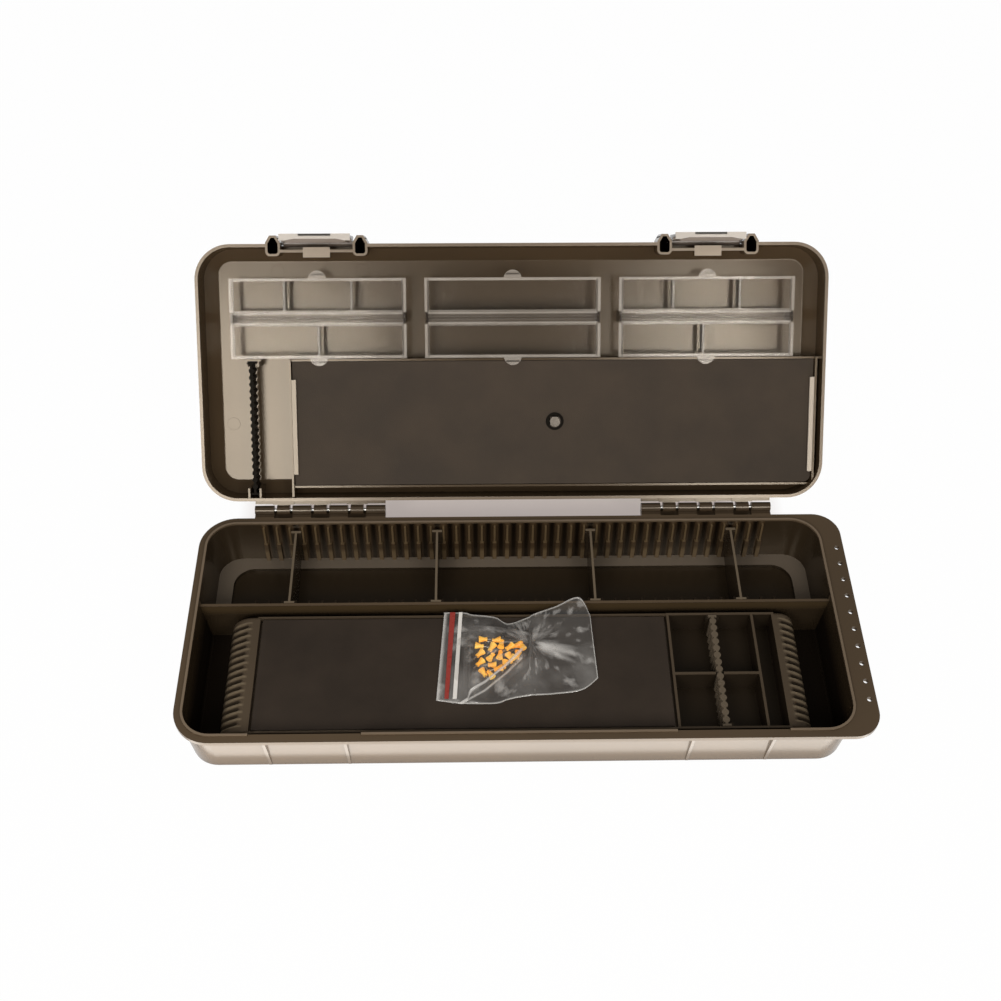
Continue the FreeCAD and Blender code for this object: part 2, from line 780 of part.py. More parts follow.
def rig_tray():
    y = ("-tray_front + 0.3", "tray_back - 0.3")
    solids = [
        tray_deck(),
        block("foam_bay_floor", ("-foam_left - cell_wall", "foam_right + cell_wall"), y,
              ("foam_floor - cell_wall", "tray_top - 0.4")),
        block("cell_block", ("foam_right", "slim_right + cell_wall"), y,
              ("cell_floor - cell_wall", "tray_top")),
    ]
    deep = ("cell_floor", "tray_top + 1")
    cell_left = "foam_right + cell_wall"
    post = "bead_radius + 0.3"
    tools = [
        block("foam_bay", ("-foam_left", "foam_right"), ("-bay_front", "bay_back"),
              ("foam_floor", "tray_top + 1")),
        block("front_cells", (cell_left, "cells_right"),
              ("-bay_front", "-cross_wall - cell_wall / 2"), deep),
        block("back_cells", (cell_left, "cells_right"),
              ("-cross_wall + cell_wall / 2", "bay_back"), deep),
        block("slim_cell", ("cells_right + cell_wall", "slim_right"),
              ("-bay_front", "bay_back"), deep),
        block("bead_slot", (f"bead_place - ({post})", f"bead_place + {post}"),
              ("-cross_wall - cell_wall", "-cross_wall + cell_wall"), deep),
    ] + shoulder_grooves()
    shaped = cut("tray_cut", fuse("tray_solids", solids), tools)
    guides = []
    for end, face, way in (("front", "-bay_front", 1), ("back", "bay_back", -1)):
        for side, sign in HANDS.items():
            edge = f"bead_place + {sign} * (bead_web / 2 + 0.3)"
            far = f"bead_place + {sign} * (bead_web / 2 + 1.3)"
            near_y = f"{face} + {way} * (tee_thick + 0.5)"
            far_y = f"{face} + {way} * (tee_thick + 1.4)"
            x = (far, edge) if sign < 0 else (edge, far)
            guide_y = (near_y, far_y) if way > 0 else (far_y, near_y)
            cheek = (f"bead_place + {sign} * (tee_width / 2 + 0.25)",
                     f"bead_place + {sign} * (tee_width / 2 + 1.25)")
            cheek_x = cheek if sign > 0 else (cheek[1], cheek[0])
            reach = (face, far_y) if way > 0 else (far_y, face)
            low = ("cell_floor - 0.2", "tray_top - 1")
            bridge = (far, cheek_x[1]) if sign > 0 else (cheek_x[0], far)
            guides.append(block(f"guide_{end}_{side}", cheek_x,
                                (f"{reach[0]} - 0.2", f"{reach[1]} + 0.2"), low))
            guides.append(block(f"guide_hook_{end}_{side}", (x[0], x[1]), guide_y, low))
            guides.append(block(f"guide_bridge_{end}_{side}",
                                (f"{bridge[0]} - 0.1", f"{bridge[1]} + 0.1"), guide_y, low))
    return node(fuse("tray_whole", [shaped] + guides), "rig_tray")


def tray_contents():
    pad = moulding("foam_pad")
    sheet_outline = outline(pad, "foam_outline", ("-foam_left + foam_gap", "foam_right - foam_gap"),
                            ("-bay_front + 0.3", "bay_back - 0.3"), "1.2", "foam_floor + 0.1")
    grow(pad, "foam_grow", sheet_outline, "foam_thick")
    node(pad, "tray_foam")
    bead_count = 15
    divider = bead_divider("tray_beads", "bead_place", ("-bay_front + 0.3", "bay_back - 0.3"),
                           ("cell_floor + rest_gap", "tray_top"), "bead_web", "bead_radius",
                           "bead_pitch", bead_count)
    node(divider, "tray_bead_divider")


# The lid: a drafted shell with bays, knuckles and the two latch housings

def lid_tub():
    body = moulding("lid_tub")
    length = ("-half_length", "half_length")
    width = ("-half_width", "half_width")
    rim = outline(body, "lid_outline", length, width, "corner_radius", "lid_seam")
    shell = grow(body, "lid_pad", rim, "lid_height - seam_gap", "lid_draft")
    round_level(body, "lid_fillet", shell, "lid_round", "lid_top")
    length = ("-half_length + lid_wall", "half_length - lid_wall")
    width = ("-half_width + lid_wall", "half_width - lid_wall")
    inner = outline(body, "lid_inside_outline", length, width, "corner_radius - lid_wall",
                    "lid_seam")
    sink(body, "lid_inside_pocket", inner, "cove_foot - lid_seam", "lid_draft", up=True)
    inset = "lid_wall + (cove_foot - lid_seam) * tan(lid_draft)"
    length = (f"-half_length + {inset}", f"half_length - ({inset})")
    width = (f"-half_width + {inset}", f"half_width - ({inset})")
    panel = outline(body, "panel_outline", length, width,
                    "panel_corner + cove_depth * tan(cove_angle)", "cove_foot")
    cove = sink(body, "panel_pocket", panel, "cove_depth", "cove_angle", up=True)
    round_level(body, "ceiling_fillet", cove, "ceiling_round", "ceiling")
    return body


def ear(hand, side, shape, name):
    """One hollow ear of a latch housing: its outside, or the hollow with its wall taken off.
    Both front corners are bevelled."""
    sign, way = HANDS[hand], HANDS[side]
    middle = f"{sign} * latch_place + {way} * (ear_span - ear_width) / 2"
    outside = shape == "outside"
    wall = "0" if outside else "ear_wall"
    half = f"(ear_width / 2 - {wall})"
    front = f"(-ear_front + {wall})"
    body = moulding(name)
    sketch = outline(body, f"{name}_outline", (f"{middle} - {half}", f"{middle} + {half}"),
                     (front, f"-ear_back - {wall}"), f"2.6 - {wall}",
                     "lid_seam" if outside else "lid_seam - 0.5")
    depth = "ear_height - seam_gap" if outside else "ear_height - seam_gap - 2.5"
    pad = grow(body, f"{name}_pad", sketch, depth)
    if outside:
        round_level(body, f"{name}_fillet", pad, "2.2", "ear_top")
    across = "ear_bevel_across" if outside else "(ear_bevel_across - 0.45)"
    along = "ear_bevel_along" if outside else "(ear_bevel_along - 0.75)"
    beyond = "1.5"
    near = f"({half} - {across} * ({along} + {beyond}) / {along})"
    corners = []
    for edge, turn in HANDS.items():
        corner = doc.addObject("Part::Wedge", f"{name}_bevel_{edge}")
        for mark, start in (("", near), ("2", half)):
            low, high = f"{middle} + {turn} * {start}", f"{middle} + {turn} * ({half} + {beyond})"
            bind(corner, f"X{mark}min", low if turn > 0 else high)
            bind(corner, f"X{mark}max", high if turn > 0 else low)
            bind(corner, f"Z{mark}min", "lid_seam - 1")
            bind(corner, f"Z{mark}max", "ear_top + 1")
        bind(corner, "Ymin", f"{front} - {beyond}")
        bind(corner, "Ymax", f"{front} + {along}")
        corners.append(corner)
    return cut(f"{name}_bevelled", body, corners)


def latch_housing(hand):
    """Solids to add and tools to cut for one latch housing in the lid's front wall."""
    sign = HANDS[hand]
    middle = f"{sign} * latch_place"
    inside = (f"{middle} - recess_half", f"{middle} + recess_half")
    solids = [
        block(f"recess_wall_{hand}", (f"{inside[0]} - 0.6", f"{inside[1]} + 0.6"),
              ("-recess_front", "-recess_front + 1.6"), ("lid_seam", "ear_top")),
        block(f"recess_roof_{hand}", (f"{inside[0]} - 0.6", f"{inside[1]} + 0.6"),
              ("-half_width + 1.2", "-recess_front + 1.6"), ("ear_top - 1", "ear_top + 0.5")),
        block(f"recess_boss_{hand}",
              (f"{middle} - boss_width / 2", f"{middle} + boss_width / 2"),
              ("-recess_front - 1.4", "-recess_front + 4.4"),
              ("lid_seam", "base_height + latch_up - latch_barrel - 2.5")),
    ]
    hollows = []
    for side in HANDS:
        solids.append(ear(hand, side, "outside", f"ear_{hand}_{side}"))
        hollows.append(ear(hand, side, "hollow", f"ear_hollow_{hand}_{side}"))
    opening = block(f"recess_{hand}", inside, ("-half_width - 1", "-recess_front"),
                    ("base_height - 1", "ear_top - 1"))
    bore = rod(f"latch_bore_{hand}", X_AXIS,
               (f"{middle} - ear_span / 2 + ear_wall", "-pivot_front", "pivot_up"),
               "ear_span - 2 * ear_wall", "pin_radius")
    return solids, opening, hollows + [bore]


def lid_knuckles():
    """The lid's knuckles on their arms, with a low web along the wall between their roots."""
    parts = []
    for hand, sign in HANDS.items():
        middle = f"{sign} * hinge_place"
        parts.append(block(f"lid_web_{hand}",
                           (f"{middle} - hinge_length / 2", f"{middle} + hinge_length / 2"),
                           ("half_width - 1", "axis_back - knuckle_radius - 0.7"),
                           ("base_height + 0.6 + web_step", "axis_up + knuckle_radius")))
        for index, (low, high) in enumerate(LID_SPANS):
            x = (f"{sign} * hinge_place + {low}", f"{sign} * hinge_place + {high}")
            name = f"lid_knuckle_{hand}_{index}"
            parts.append(rod(name, X_AXIS, (x[0], "axis_back", "axis_up"), "lid_knuckle",
                             "knuckle_radius"))
            parts.append(block(f"{name}_arm", x, ("half_width - 1", "axis_back"),
                               ("axis_up + 0.4", "axis_up + knuckle_radius")))
            parts.append(block(f"{name}_root", (f"{x[0]} - arm_flare", f"{x[1]} + arm_flare"),
                               ("half_width - 1", "axis_back - knuckle_radius - 0.5"),
                               ("base_height + 0.6", "axis_up + knuckle_radius")))
    return parts


def lid_bays():
    """The walls that part the lid into bays, the board's lips and the strip's brackets."""
    ceiling = "ceiling + 0.6"
    left = "-board_bay_left"
    right = "half_length - lid_wall - 0.1"
    rear = "half_width - lid_wall - 0.1"
    front_wall = ("-board_bay_front", "-board_bay_front + bay_wall")
    lip_z = ("base_height + 3", "base_height + 4.4")
    lip_y = ("3.4", "59.0")
    parts = [
        block("bay_front_wall", (left, right), front_wall, ("bay_edge_up", ceiling)),
        block("bay_left_wall", (left, f"{left} + bay_wall"), ("-board_bay_front", rear),
              ("base_height + 2.4", ceiling)),
        block("bay_back_wall", (left, right), ("board_bay_back - bay_wall", "board_bay_back"),
              ("bay_edge_up - 0.4", ceiling)),
        block("bay_right_wall", ("board_bay_right - bay_wall", "board_bay_right"),
              ("-board_bay_front", "board_bay_back"), ("base_height + 2.4", ceiling)),
        block("lip_left", (left, f"{left} + bay_wall + board_lip"), lip_y, lip_z),
        block("lip_right", ("board_bay_right - bay_wall - board_lip", "board_bay_right"), lip_y,
              lip_z),
        block("strip_stop", ("-strip_place - 5", "-strip_place + 5"), front_wall,
              ("base_height + 8", ceiling)),
    ]
    parts.append(rod("stud_boss", Z_AXIS, ("stud_place", "stud_back", "board_rear + 0.1"),
                     f"{ceiling} - board_rear - 0.1", "boss_radius"))
    for index, place in enumerate(("12", "46")):
        parts.append(block(f"board_rest_{index}", (f"{left} + 0.5", "board_bay_right - 0.5"),
                           (place, f"{place} + bay_wall"), ("board_rear + 0.1", ceiling)))
    for side, sign in HANDS.items():
        near = f"-strip_place + {sign} * (tee_width / 2 + 0.3)"
        far = f"-strip_place + {sign} * (tee_width / 2 + 1.5)"
        leg_x = (near, far) if sign > 0 else (far, near)
        parts.append(block(f"bracket_{side}", leg_x, (f"{rear} - 5.6", rear),
                           ("base_height + 1.2", ceiling)))
        parts.append(block(f"stop_leg_{side}", leg_x,
                           ("-board_bay_front", "-board_bay_front + 4.5"),
                           ("base_height + 8", ceiling)))
    return parts


def lid_room(name, margin, low, high):
    """The space inside the lid's drafted wall, less a margin, between two levels."""
    body = moulding(name)
    inset = f"lid_wall + {margin} + (({low}) - lid_seam) * tan(lid_draft)"
    length = (f"-half_length + {inset}", f"half_length - ({inset})")
    width = (f"-half_width + {inset}", f"half_width - ({inset})")
    mouth = outline(body, f"{name}_outline", length, width, f"corner_radius - ({inset})", low)
    grow(body, f"{name}_pad", mouth, f"({high}) - ({low})", "lid_draft")
    return body


def within(name, thing, room):
    """The part of a thing that lies inside a room."""
    common = doc.addObject("Part::MultiCommon", name)
    common.Shapes = [thing, room]
    return common


def lid_shell():
    room = lid_room("bay_room", "-0.6", "base_height + 1", "ceiling + 0.6")
    bays = within("bays_trimmed", fuse("bays_whole", lid_bays()), room)
    solids = lid_knuckles() + [bays]
    openings = []
    tools = hinge_bores("lid_bore", "pin_radius + pin_play")
    tools.append(rod("boss_bore", Z_AXIS, ("stud_place", "stud_back", "board_rear - 1"),
                     "boss_depth + 1.5", "shank_radius"))
    for hand in HANDS:
        housing, opening, hollows = latch_housing(hand)
        solids += housing
        openings.append(opening)
        tools += hollows
    notched = cut("lid_notched", lid_tub(), openings)
    whole = fuse("lid_solids", [notched] + solids)
    return lid_node(cut("lid_cut", whole, tools), "lid_shell")


# The latches: a plate on a steel pin, with a hook that goes under the base's lip

def latches():
    for hand, sign in HANDS.items():
        middle = f"{sign} * latch_place"
        x = (f"{middle} - latch_width / 2", f"{middle} + latch_width / 2")
        plate_in = "-half_width - latch_gap"
        plate_out = f"{plate_in} - latch_thick"
        foot = "base_height - latch_drop"
        cheek = "1.6"
        grip_out = f"{plate_out} - 1"
        grip_in = f"{plate_in} + 1"
        grip_z = (foot, f"{foot} + grip_height")
        parts = [
            block(f"latch_plate_{hand}", x, (plate_out, plate_in), (foot, "pivot_up + 2.2")),
            rod(f"latch_barrel_{hand}", X_AXIS, (x[0], "-pivot_front", "pivot_up"),
                "latch_width", "latch_barrel"),
            block(f"latch_hook_{hand}",
                  (f"{middle} - hook_width / 2", f"{middle} + hook_width / 2"),
                  (f"{plate_in} - 0.2", "-hook_tip"),
                  ("base_height - hook_top - hook_deep", "base_height - hook_top")),
            block(f"latch_grip_{hand}", x, (grip_out, grip_in), grip_z),
        ]
        for side, way in HANDS.items():
            edge = f"{middle} + {way} * latch_width / 2"
            inner = f"{middle} + {way} * (latch_width / 2 - {cheek})"
            cheek_x = (inner, edge) if way > 0 else (edge, inner)
            parts.append(block(f"latch_cheek_{hand}_{side}", cheek_x,
                               (f"{plate_in} - 0.2", f"{plate_in} + 1.4"),
                               ("base_height + 1.5", "pivot_up")))
        arch = "((latch_width / 2 - 3)^2 / (2 * grip_arch) + grip_arch / 2)"
        tools = [
            rod(f"latch_hole_{hand}", X_AXIS, (f"{x[0]} - 1", "-pivot_front", "pivot_up"),
                "latch_width + 2", "pin_radius + pin_play"),
            rod(f"latch_arch_{hand}", Z_AXIS,
                (middle, f"{grip_in} - grip_arch + {arch}", f"{foot} - 1"), "grip_height + 1",
                arch),
            block(f"latch_slot_{hand}", (f"{middle} - grip_slot / 2", f"{middle} + grip_slot / 2"),
                  (f"{grip_out} + 0.5", f"{grip_out} + 1.4"), (f"{foot} - 1", f"{foot} + 1.3")),
        ]
        lid_node(cut(f"latch_cut_{hand}", fuse(f"latch_solid_{hand}", parts), tools),
                 f"latch_{hand}")
        start = (f"{middle} - recess_half - ear_wall + 0.1", "-pivot_front", "pivot_up")
        pin = steel_pin(f"latch_steel_{hand}", start, "2 * recess_half + 2 * ear_wall - 0.2",
                        "pin_radius")
        lid_node(pin, f"latch_pin_{hand}")


# The board in the lid, with the stud and its ring that hold it

def rig_board():
    sheet_body = moulding("board_sheet")
    shape = outline(sheet_body, "board_outline",
                    ("-board_bay_left + bay_wall + 0.4", "board_bay_right - bay_wall - 0.4"),
                    ("-board_bay_front + bay_wall + 0.3", "board_bay_back - bay_wall - 0.3"),
                    "1.5", "board_face")
    grow(sheet_body, "board_pad", shape, "board_thick")
    hole = rod("board_hole", Z_AXIS, ("stud_place", "stud_back", "board_face - 1"),
               "board_thick + 2", "shank_radius + pin_play")
    room = lid_room("board_room", "0.5", "board_face - 0.5", "board_rear + 0.5")
    trimmed = within("board_trimmed", sheet_body, room)
    lid_node(cut("board_cut", trimmed, [hole]), "rig_board")
    ring_low = "board_face - 0.6"
    ring = cut("ring_cut",
               rod("ring_disc", Z_AXIS, ("stud_place", "stud_back", ring_low), "0.55",
                   "ring_radius"),
               [rod("ring_hole", Z_AXIS, ("stud_place", "stud_back", "board_face - 2"), "3",
                    "1.6")])
    lid_node(ring, "board_ring")
    dome = doc.addObject("Part::Sphere", "dome")
    bind(dome, "Radius", "dome_radius")
    bind_place(dome, "stud_place", "stud_back", f"{ring_low} - 0.05")
    level = f"{ring_low} - 0.05"
    cap = doc.addObject("Part::MultiCommon", "dome_cap")
    reach = "dome_radius + 1"
    cap.Shapes = [dome, block("dome_box", (f"stud_place - {reach}", f"stud_place + {reach}"),
                              (f"stud_back - {reach}", f"stud_back + {reach}"),
                              (f"{level} - dome_height", level))]
    shank = rod("stud_shank", Z_AXIS, ("stud_place", "stud_back", f"{level} - 0.2"),
                f"board_rear + boss_depth - ({level} - 0.2)", "shank_radius")
    lid_node(fuse("stud", [cap, shank]), "board_stud")


def lid_strip():
    bead_count = 18
    strip = bead_divider("strip_solid", "-strip_place",
                         ("-board_bay_front + bay_wall + 0.3", "half_width - lid_wall - 1.6"),
                         ("base_height + 3", "cove_foot - 0.2"), "bead_web", "strip_radius",
                         "strip_pitch", bead_count)
    lid_node(strip, "lid_bead_strip")


# Three small boxes in the lid, each with a flap on both sides of a middle wall

def mini_tray(name, centre, front_walls, back_walls):
    """A tray whose two rows of cells are parted by short walls; it lies mouth down when shut."""
    body = moulding(f"{name}_tray_body")
    half_x = "(mini_length / 2 - mini_overhang)"
    half_y = "(mini_width / 2 - mini_overhang)"
    x = (f"{centre} - {half_x}", f"{centre} + {half_x}")
    y = (f"-mini_middle - {half_y}", f"-mini_middle + {half_y}")
    rim = outline(body, f"{name}_outline", x, y, "mini_round", "mini_rim")
    grow(body, f"{name}_pad", rim, "mini_tray_height")
    spine = "flap_spacing + flap_barrel + 0.4"
    for row, walls, low, high in (
            ("front", front_walls, f"{y[0]} + mini_wall", f"-mini_middle - ({spine}) - mini_wall"),
            ("back", back_walls, f"-mini_middle + {spine} + mini_wall", f"{y[1]} - mini_wall")):
        edges = [f"{x[0]} + mini_wall"]
        for wall in walls:
            edges += [f"{centre} + {wall} - mini_wall / 2", f"{centre} + {wall} + mini_wall / 2"]
        edges.append(f"{x[1]} - mini_wall")
        for index in range(0, len(edges), 2):
            cell = outline(body, f"{name}_{row}_cell_{index}", (edges[index], edges[index + 1]),
                           (low, high), "1.2", "mini_rim")
            sink(body, f"{name}_{row}_sink_{index}", cell, "mini_tray_height - mini_floor",
                 up=True)
    trough = block(f"{name}_trough", (f"{x[0]} + mini_wall", f"{x[1]} - mini_wall"),
                   (f"-mini_middle - ({spine})", f"-mini_middle + {spine}"),
                   ("mini_rim - 1", "mini_rim + 1.8"))
    under = block(f"{name}_under", (f"{x[0]} + mini_wall", f"{x[1]} - mini_wall"),
                  (f"-mini_middle - ({spine})", f"-mini_middle + {spine}"),
                  ("mini_rim + 1.8 + mini_wall", "mini_foot + 1"))
    notched = cut(f"{name}_notched", body, [trough, under])
    posts = []
    post = "flap_spacing + flap_barrel + 0.1"
    for side, sign in HANDS.items():
        edge = f"{centre} + {sign} * {half_x}"
        inner = f"{centre} + {sign} * ({half_x} - mini_wall)"
        post_x = (inner, edge) if sign > 0 else (edge, inner)
        posts.append(block(f"{name}_post_{side}", post_x,
                           (f"-mini_middle - ({post})", f"-mini_middle + {post}"),
                           ("flap_axis - flap_barrel", "mini_rim + 2")))
    bores = [rod(f"{name}_bore_{row}", X_AXIS,
                 (f"{x[0]} - 1", f"-mini_middle + {way} * flap_spacing", "flap_axis"),
                 "mini_length + 2", "stud_radius + pin_play")
             for row, way in (("front", -1), ("back", 1))]
    return cut(f"{name}_tray", fuse(f"{name}_posted", [notched] + posts), bores)


def mini_flap(name, centre, way):
    """A flap: a bordered plate with a thumb tab, hung on a barrel with a stud at each end."""
    side = "front" if way < 0 else "back"
    label = f"{name}_{side}"
    half_x = "mini_length / 2"
    axis_y = f"-mini_middle + {way} * flap_spacing"
    near = f"-mini_middle + {way} * (flap_spacing + flap_barrel + 0.7)"
    far = f"-mini_middle + {way} * mini_width / 2"
    y = (near, far) if way > 0 else (far, near)
    neck = (axis_y, near) if way > 0 else (near, axis_y)
    inner = f"(mini_length / 2 - mini_overhang - mini_wall - 0.2)"
    z = ("flap_face", "flap_inner")
    plate = block(f"{label}_plate", (f"{centre} - {half_x}", f"{centre} + {half_x}"), y, z)
    panel_low = f"{y[0]} + flap_border"
    panel_high = f"{y[1]} - flap_border"
    panel = block(f"{label}_panel", (f"{centre} - {half_x} + flap_border",
                                     f"{centre} + {half_x} - flap_border"),
                  (panel_low, panel_high), ("flap_face - 1", "flap_face + 0.45"))
    framed = cut(f"{label}_framed", plate, [panel])
    tab_centre = f"{far} + {way} * (tab_reach - tab_radius)"
    tab_disc = rod(f"{label}_tab", Z_AXIS, (centre, tab_centre, "flap_face"), "flap_thick",
                   "tab_radius")
    tab_side = (f"{far} - 0.3", f"{far} + 6") if way > 0 else (f"{far} - 6", f"{far} + 0.3")
    tab = doc.addObject("Part::MultiCommon", f"{label}_tab_half")
    tab.Shapes = [tab_disc, block(f"{label}_tab_box", (f"{centre} - 8", f"{centre} + 8"),
                                  tab_side, ("flap_face - 1", "flap_inner + 1"))]
    ridge_near = f"{far} + {way} * 1.0"
    ridge_far = f"{far} + {way} * 3.0"
    ridge_y = (ridge_near, ridge_far) if way > 0 else (ridge_far, ridge_near)
    parts = [framed, tab]
    for index, place in enumerate((-2.4, -0.8, 0.8, 2.4)):
        parts.append(block(f"{label}_ridge_{index}",
                           (f"{centre} + {place} - 0.35", f"{centre} + {place} + 0.35"),
                           ridge_y, ("flap_face - 0.3", "flap_face + 0.2")))
    parts.append(block(f"{label}_neck", (f"{centre} - {inner}", f"{centre} + {inner}"), neck,
                       ("flap_face", "flap_inner")))
    parts.append(rod(f"{label}_barrel", X_AXIS, (f"{centre} - {inner}", axis_y, "flap_axis"),
                     f"2 * {inner}", "flap_barrel"))
    parts.append(rod(f"{label}_studs", X_AXIS,
                     (f"{centre} - {inner} - mini_wall + 0.1", axis_y, "flap_axis"),
                     f"2 * {inner} + 2 * mini_wall - 0.2", "stud_radius"))
    return fuse(f"{label}_flap", parts)


def mini_boxes():
    third = "mini_length * 0.19"
    layout = {
        "left": (-1, (f"-{third}", third), ("0",)),
        "middle": (0, (), ()),
        "right": (1, (f"-{third}", third), ("-1.5",)),
    }
    for place, (step, front_walls, back_walls) in layout.items():
        centre = f"{step} * mini_pitch"
        name = f"mini_{place}"
        lid_node(mini_tray(name, centre, front_walls, back_walls), f"mini_box_{place}")
        lid_node(mini_flap(name, centre, -1), f"mini_box_{place}_front_flap")
        lid_node(mini_flap(name, centre, 1), f"mini_box_{place}_back_flap")


# The bag of spare rig pins that lies on the foam

# Each row crosses the bag: front point, back point, lift of the back edge, then where the
# bulge over the pins starts and ends, and its height.
BAG_ROWS = (
    ((-44.0, -46.0), (-40.2, 10.6), 0.0, -30.0, -10.0, 0.0),
    ((-31.8, -48.0), (-29.2, 10.4), 0.0, -33.0, -9.0, 0.0),
    ((-28.0, -48.1), (-26.8, 9.8), 0.0, -38.0, -8.0, 1.2),
    ((-24.8, -48.3), (-24.4, 9.0), 0.0, -43.0, -4.6, 7.6),
    ((-12.0, -48.2), (-12.0, 7.2), 0.0, -37.0, -5.4, 7.8),
    ((-4.4, -45.6), (-4.6, 2.6), 0.2, -30.0, -7.4, 7.8),
    ((5.8, -43.6), (6.2, 6.4), 0.4, -21.6, -9.4, 7.4),
    ((9.6, -43.3), (10.4, 8.6), 1.0, -18.6, -9.6, 0.9),
    ((20.0, -42.7), (22.3, 11.6), 3.8, -24.0, -6.0, 0.4),
    ((34.6, -40.3), (35.2, 15.0), 7.4, -26.0, -2.0, 0.3),
    ((43.6, -33.0), (41.3, 5.0), 3.4, -24.0, -8.0, 0.2),
)
BAG_POUCH = slice(3, 7)
BAG_EDGE = 0.7
BAG_SKIN = 0.25
BAG_SLOPE = 0.55
BULGE_FOOT = 3.0


def bag_foot():
    """The level of the bag's underside, just clear of the foam."""
    return number("foam_top") + 0.25


def bag_point(row, y, rise):
    """A point of a row at one y, this far over the bag's underside."""
    front, back, lift = row[:3]
    share = (y - front[1]) / (back[1] - front[1])
    x = front[0] + share * (back[0] - front[0])
    return Vector(x, y, bag_foot() + BAG_SLOPE * share + lift * share * share + rise)


def bag_ring(row):
    """The closed outside section of one row."""
    front, back, _, start, stop, height = row
    marks = ((front[1], 0), (start, 0), (stop, 0), (back[1], 0), (back[1], BAG_EDGE),
             (stop + BULGE_FOOT, BAG_EDGE), (stop, BAG_EDGE + height),
             (start, BAG_EDGE + height), (start - BULGE_FOOT, BAG_EDGE), (front[1], BAG_EDGE))
    points = [bag_point(row, y, rise) for y, rise in marks]
    return Part.makePolygon(points + points[:1])


def pouch_ring(row):
    """The closed inside section of one row, a film's thickness inside the bulge."""
    _, _, _, start, stop, height = row
    top = BAG_EDGE + height - BAG_SKIN
    marks = ((start + 0.3, BAG_SKIN), (stop - 0.3, BAG_SKIN), (stop - 0.5, top),
             (start + 0.5, top))
    points = [bag_point(row, y, rise) for y, rise in marks]
    return Part.makePolygon(points + points[:1])


def zip_rail(front_x, back_x):
    """A flat rail that follows the bag's top film from its front edge to its back edge."""
    row = BAG_ROWS[0]
    sections = []
    for (low, high), y in ((front_x, row[0][1] + 0.6), (back_x, row[1][1] - 0.6)):
        level = bag_point(row, y, BAG_EDGE + 0.05).z
        corners = [Vector(low, y, level), Vector(high, y, level),
                   Vector(high, y, level + 0.6), Vector(low, y, level + 0.6)]
        sections.append(Part.makePolygon(corners + corners[:1]))
    return Part.makeLoft(sections, True, True)


def pin_bag():
    outer = Part.makeLoft([bag_ring(row) for row in BAG_ROWS], True, True)
    hollow = Part.makeLoft([pouch_ring(row) for row in BAG_ROWS[BAG_POUCH]], True, True)
    bag = doc.addObject("Part::Feature", "bag_film")
    bag.Shape = outer.cut(hollow)
    node(bag, "pin_bag")
    rails = [zip_rail((-39.6, -37.4), (-37.0, -34.0)), zip_rail((-35.2, -33.0), (-32.0, -30.0))]
    zip_rails = doc.addObject("Part::Feature", "bag_rails")
    zip_rails.Shape = Part.makeCompound(rails)
    node(zip_rails, "bag_zip")


# Where the middle of each pin's head lies in the pile, along the box and across it.
PIN_PLACES = (
    (-18.6, -8.9), (-20.6, -13.2), (-20.4, -18.2), (-20.4, -24.0), (-18.6, -30.4),
    (-21.2, -38.4), (-12.2, -9.6), (-14.9, -14.8), (-15.4, -19.8), (-9.6, -13.6),
    (-9.4, -19.0), (-13.8, -25.6), (-14.8, -31.4), (-8.0, -24.8), (-10.6, -29.4),
    (-4.2, -20.6), (-5.2, -15.6), (-0.6, -13.2), (2.6, -15.2), (0.2, -19.4),
    (-2.8, -24.0), (-6.6, -28.4),
)


def pin_spheres(centre, level, turn):
    """Round marks along a pin, as (middle, radius), to keep one pin clear of the next."""
    length, needle = number("pin_head_length"), number("pin_needle")
    way = Vector(math.cos(math.radians(turn)), math.sin(math.radians(turn)), 0)
    start = Vector(*centre, level) - way * (length / 2)
    marks = ((0.8, 2.12), (2.4, 1.6), (3.9, 1.35), (length + needle / 2, 0.45),
             (length + needle, 0.45))
    return [(start + way * along, radius) for along, radius in marks]


def pouch_edges(x):
    """Front and back limits of the pouch at one place along the box."""
    rows = BAG_ROWS[BAG_POUCH]
    for near, far in zip(rows, rows[1:]):
        left, right = near[0][0], far[0][0]
        if left <= x <= right:
            share = (x - left) / (right - left)
            return (near[3] + share * (far[3] - near[3]), near[4] + share * (far[4] - near[4]))
    return None


def in_pouch(spheres):
    for middle, radius in spheres:
        for side in (-1, 1):
            edges = pouch_edges(middle.x + side * (radius + 0.3))
            if edges is None or middle.y - radius < edges[0] + 1 or middle.y + radius > edges[1] - 1:
                return False
    return True


def clear_of(spheres, others):
    return all((one - two).Length > near + far
               for one, near in spheres for two, far in others)


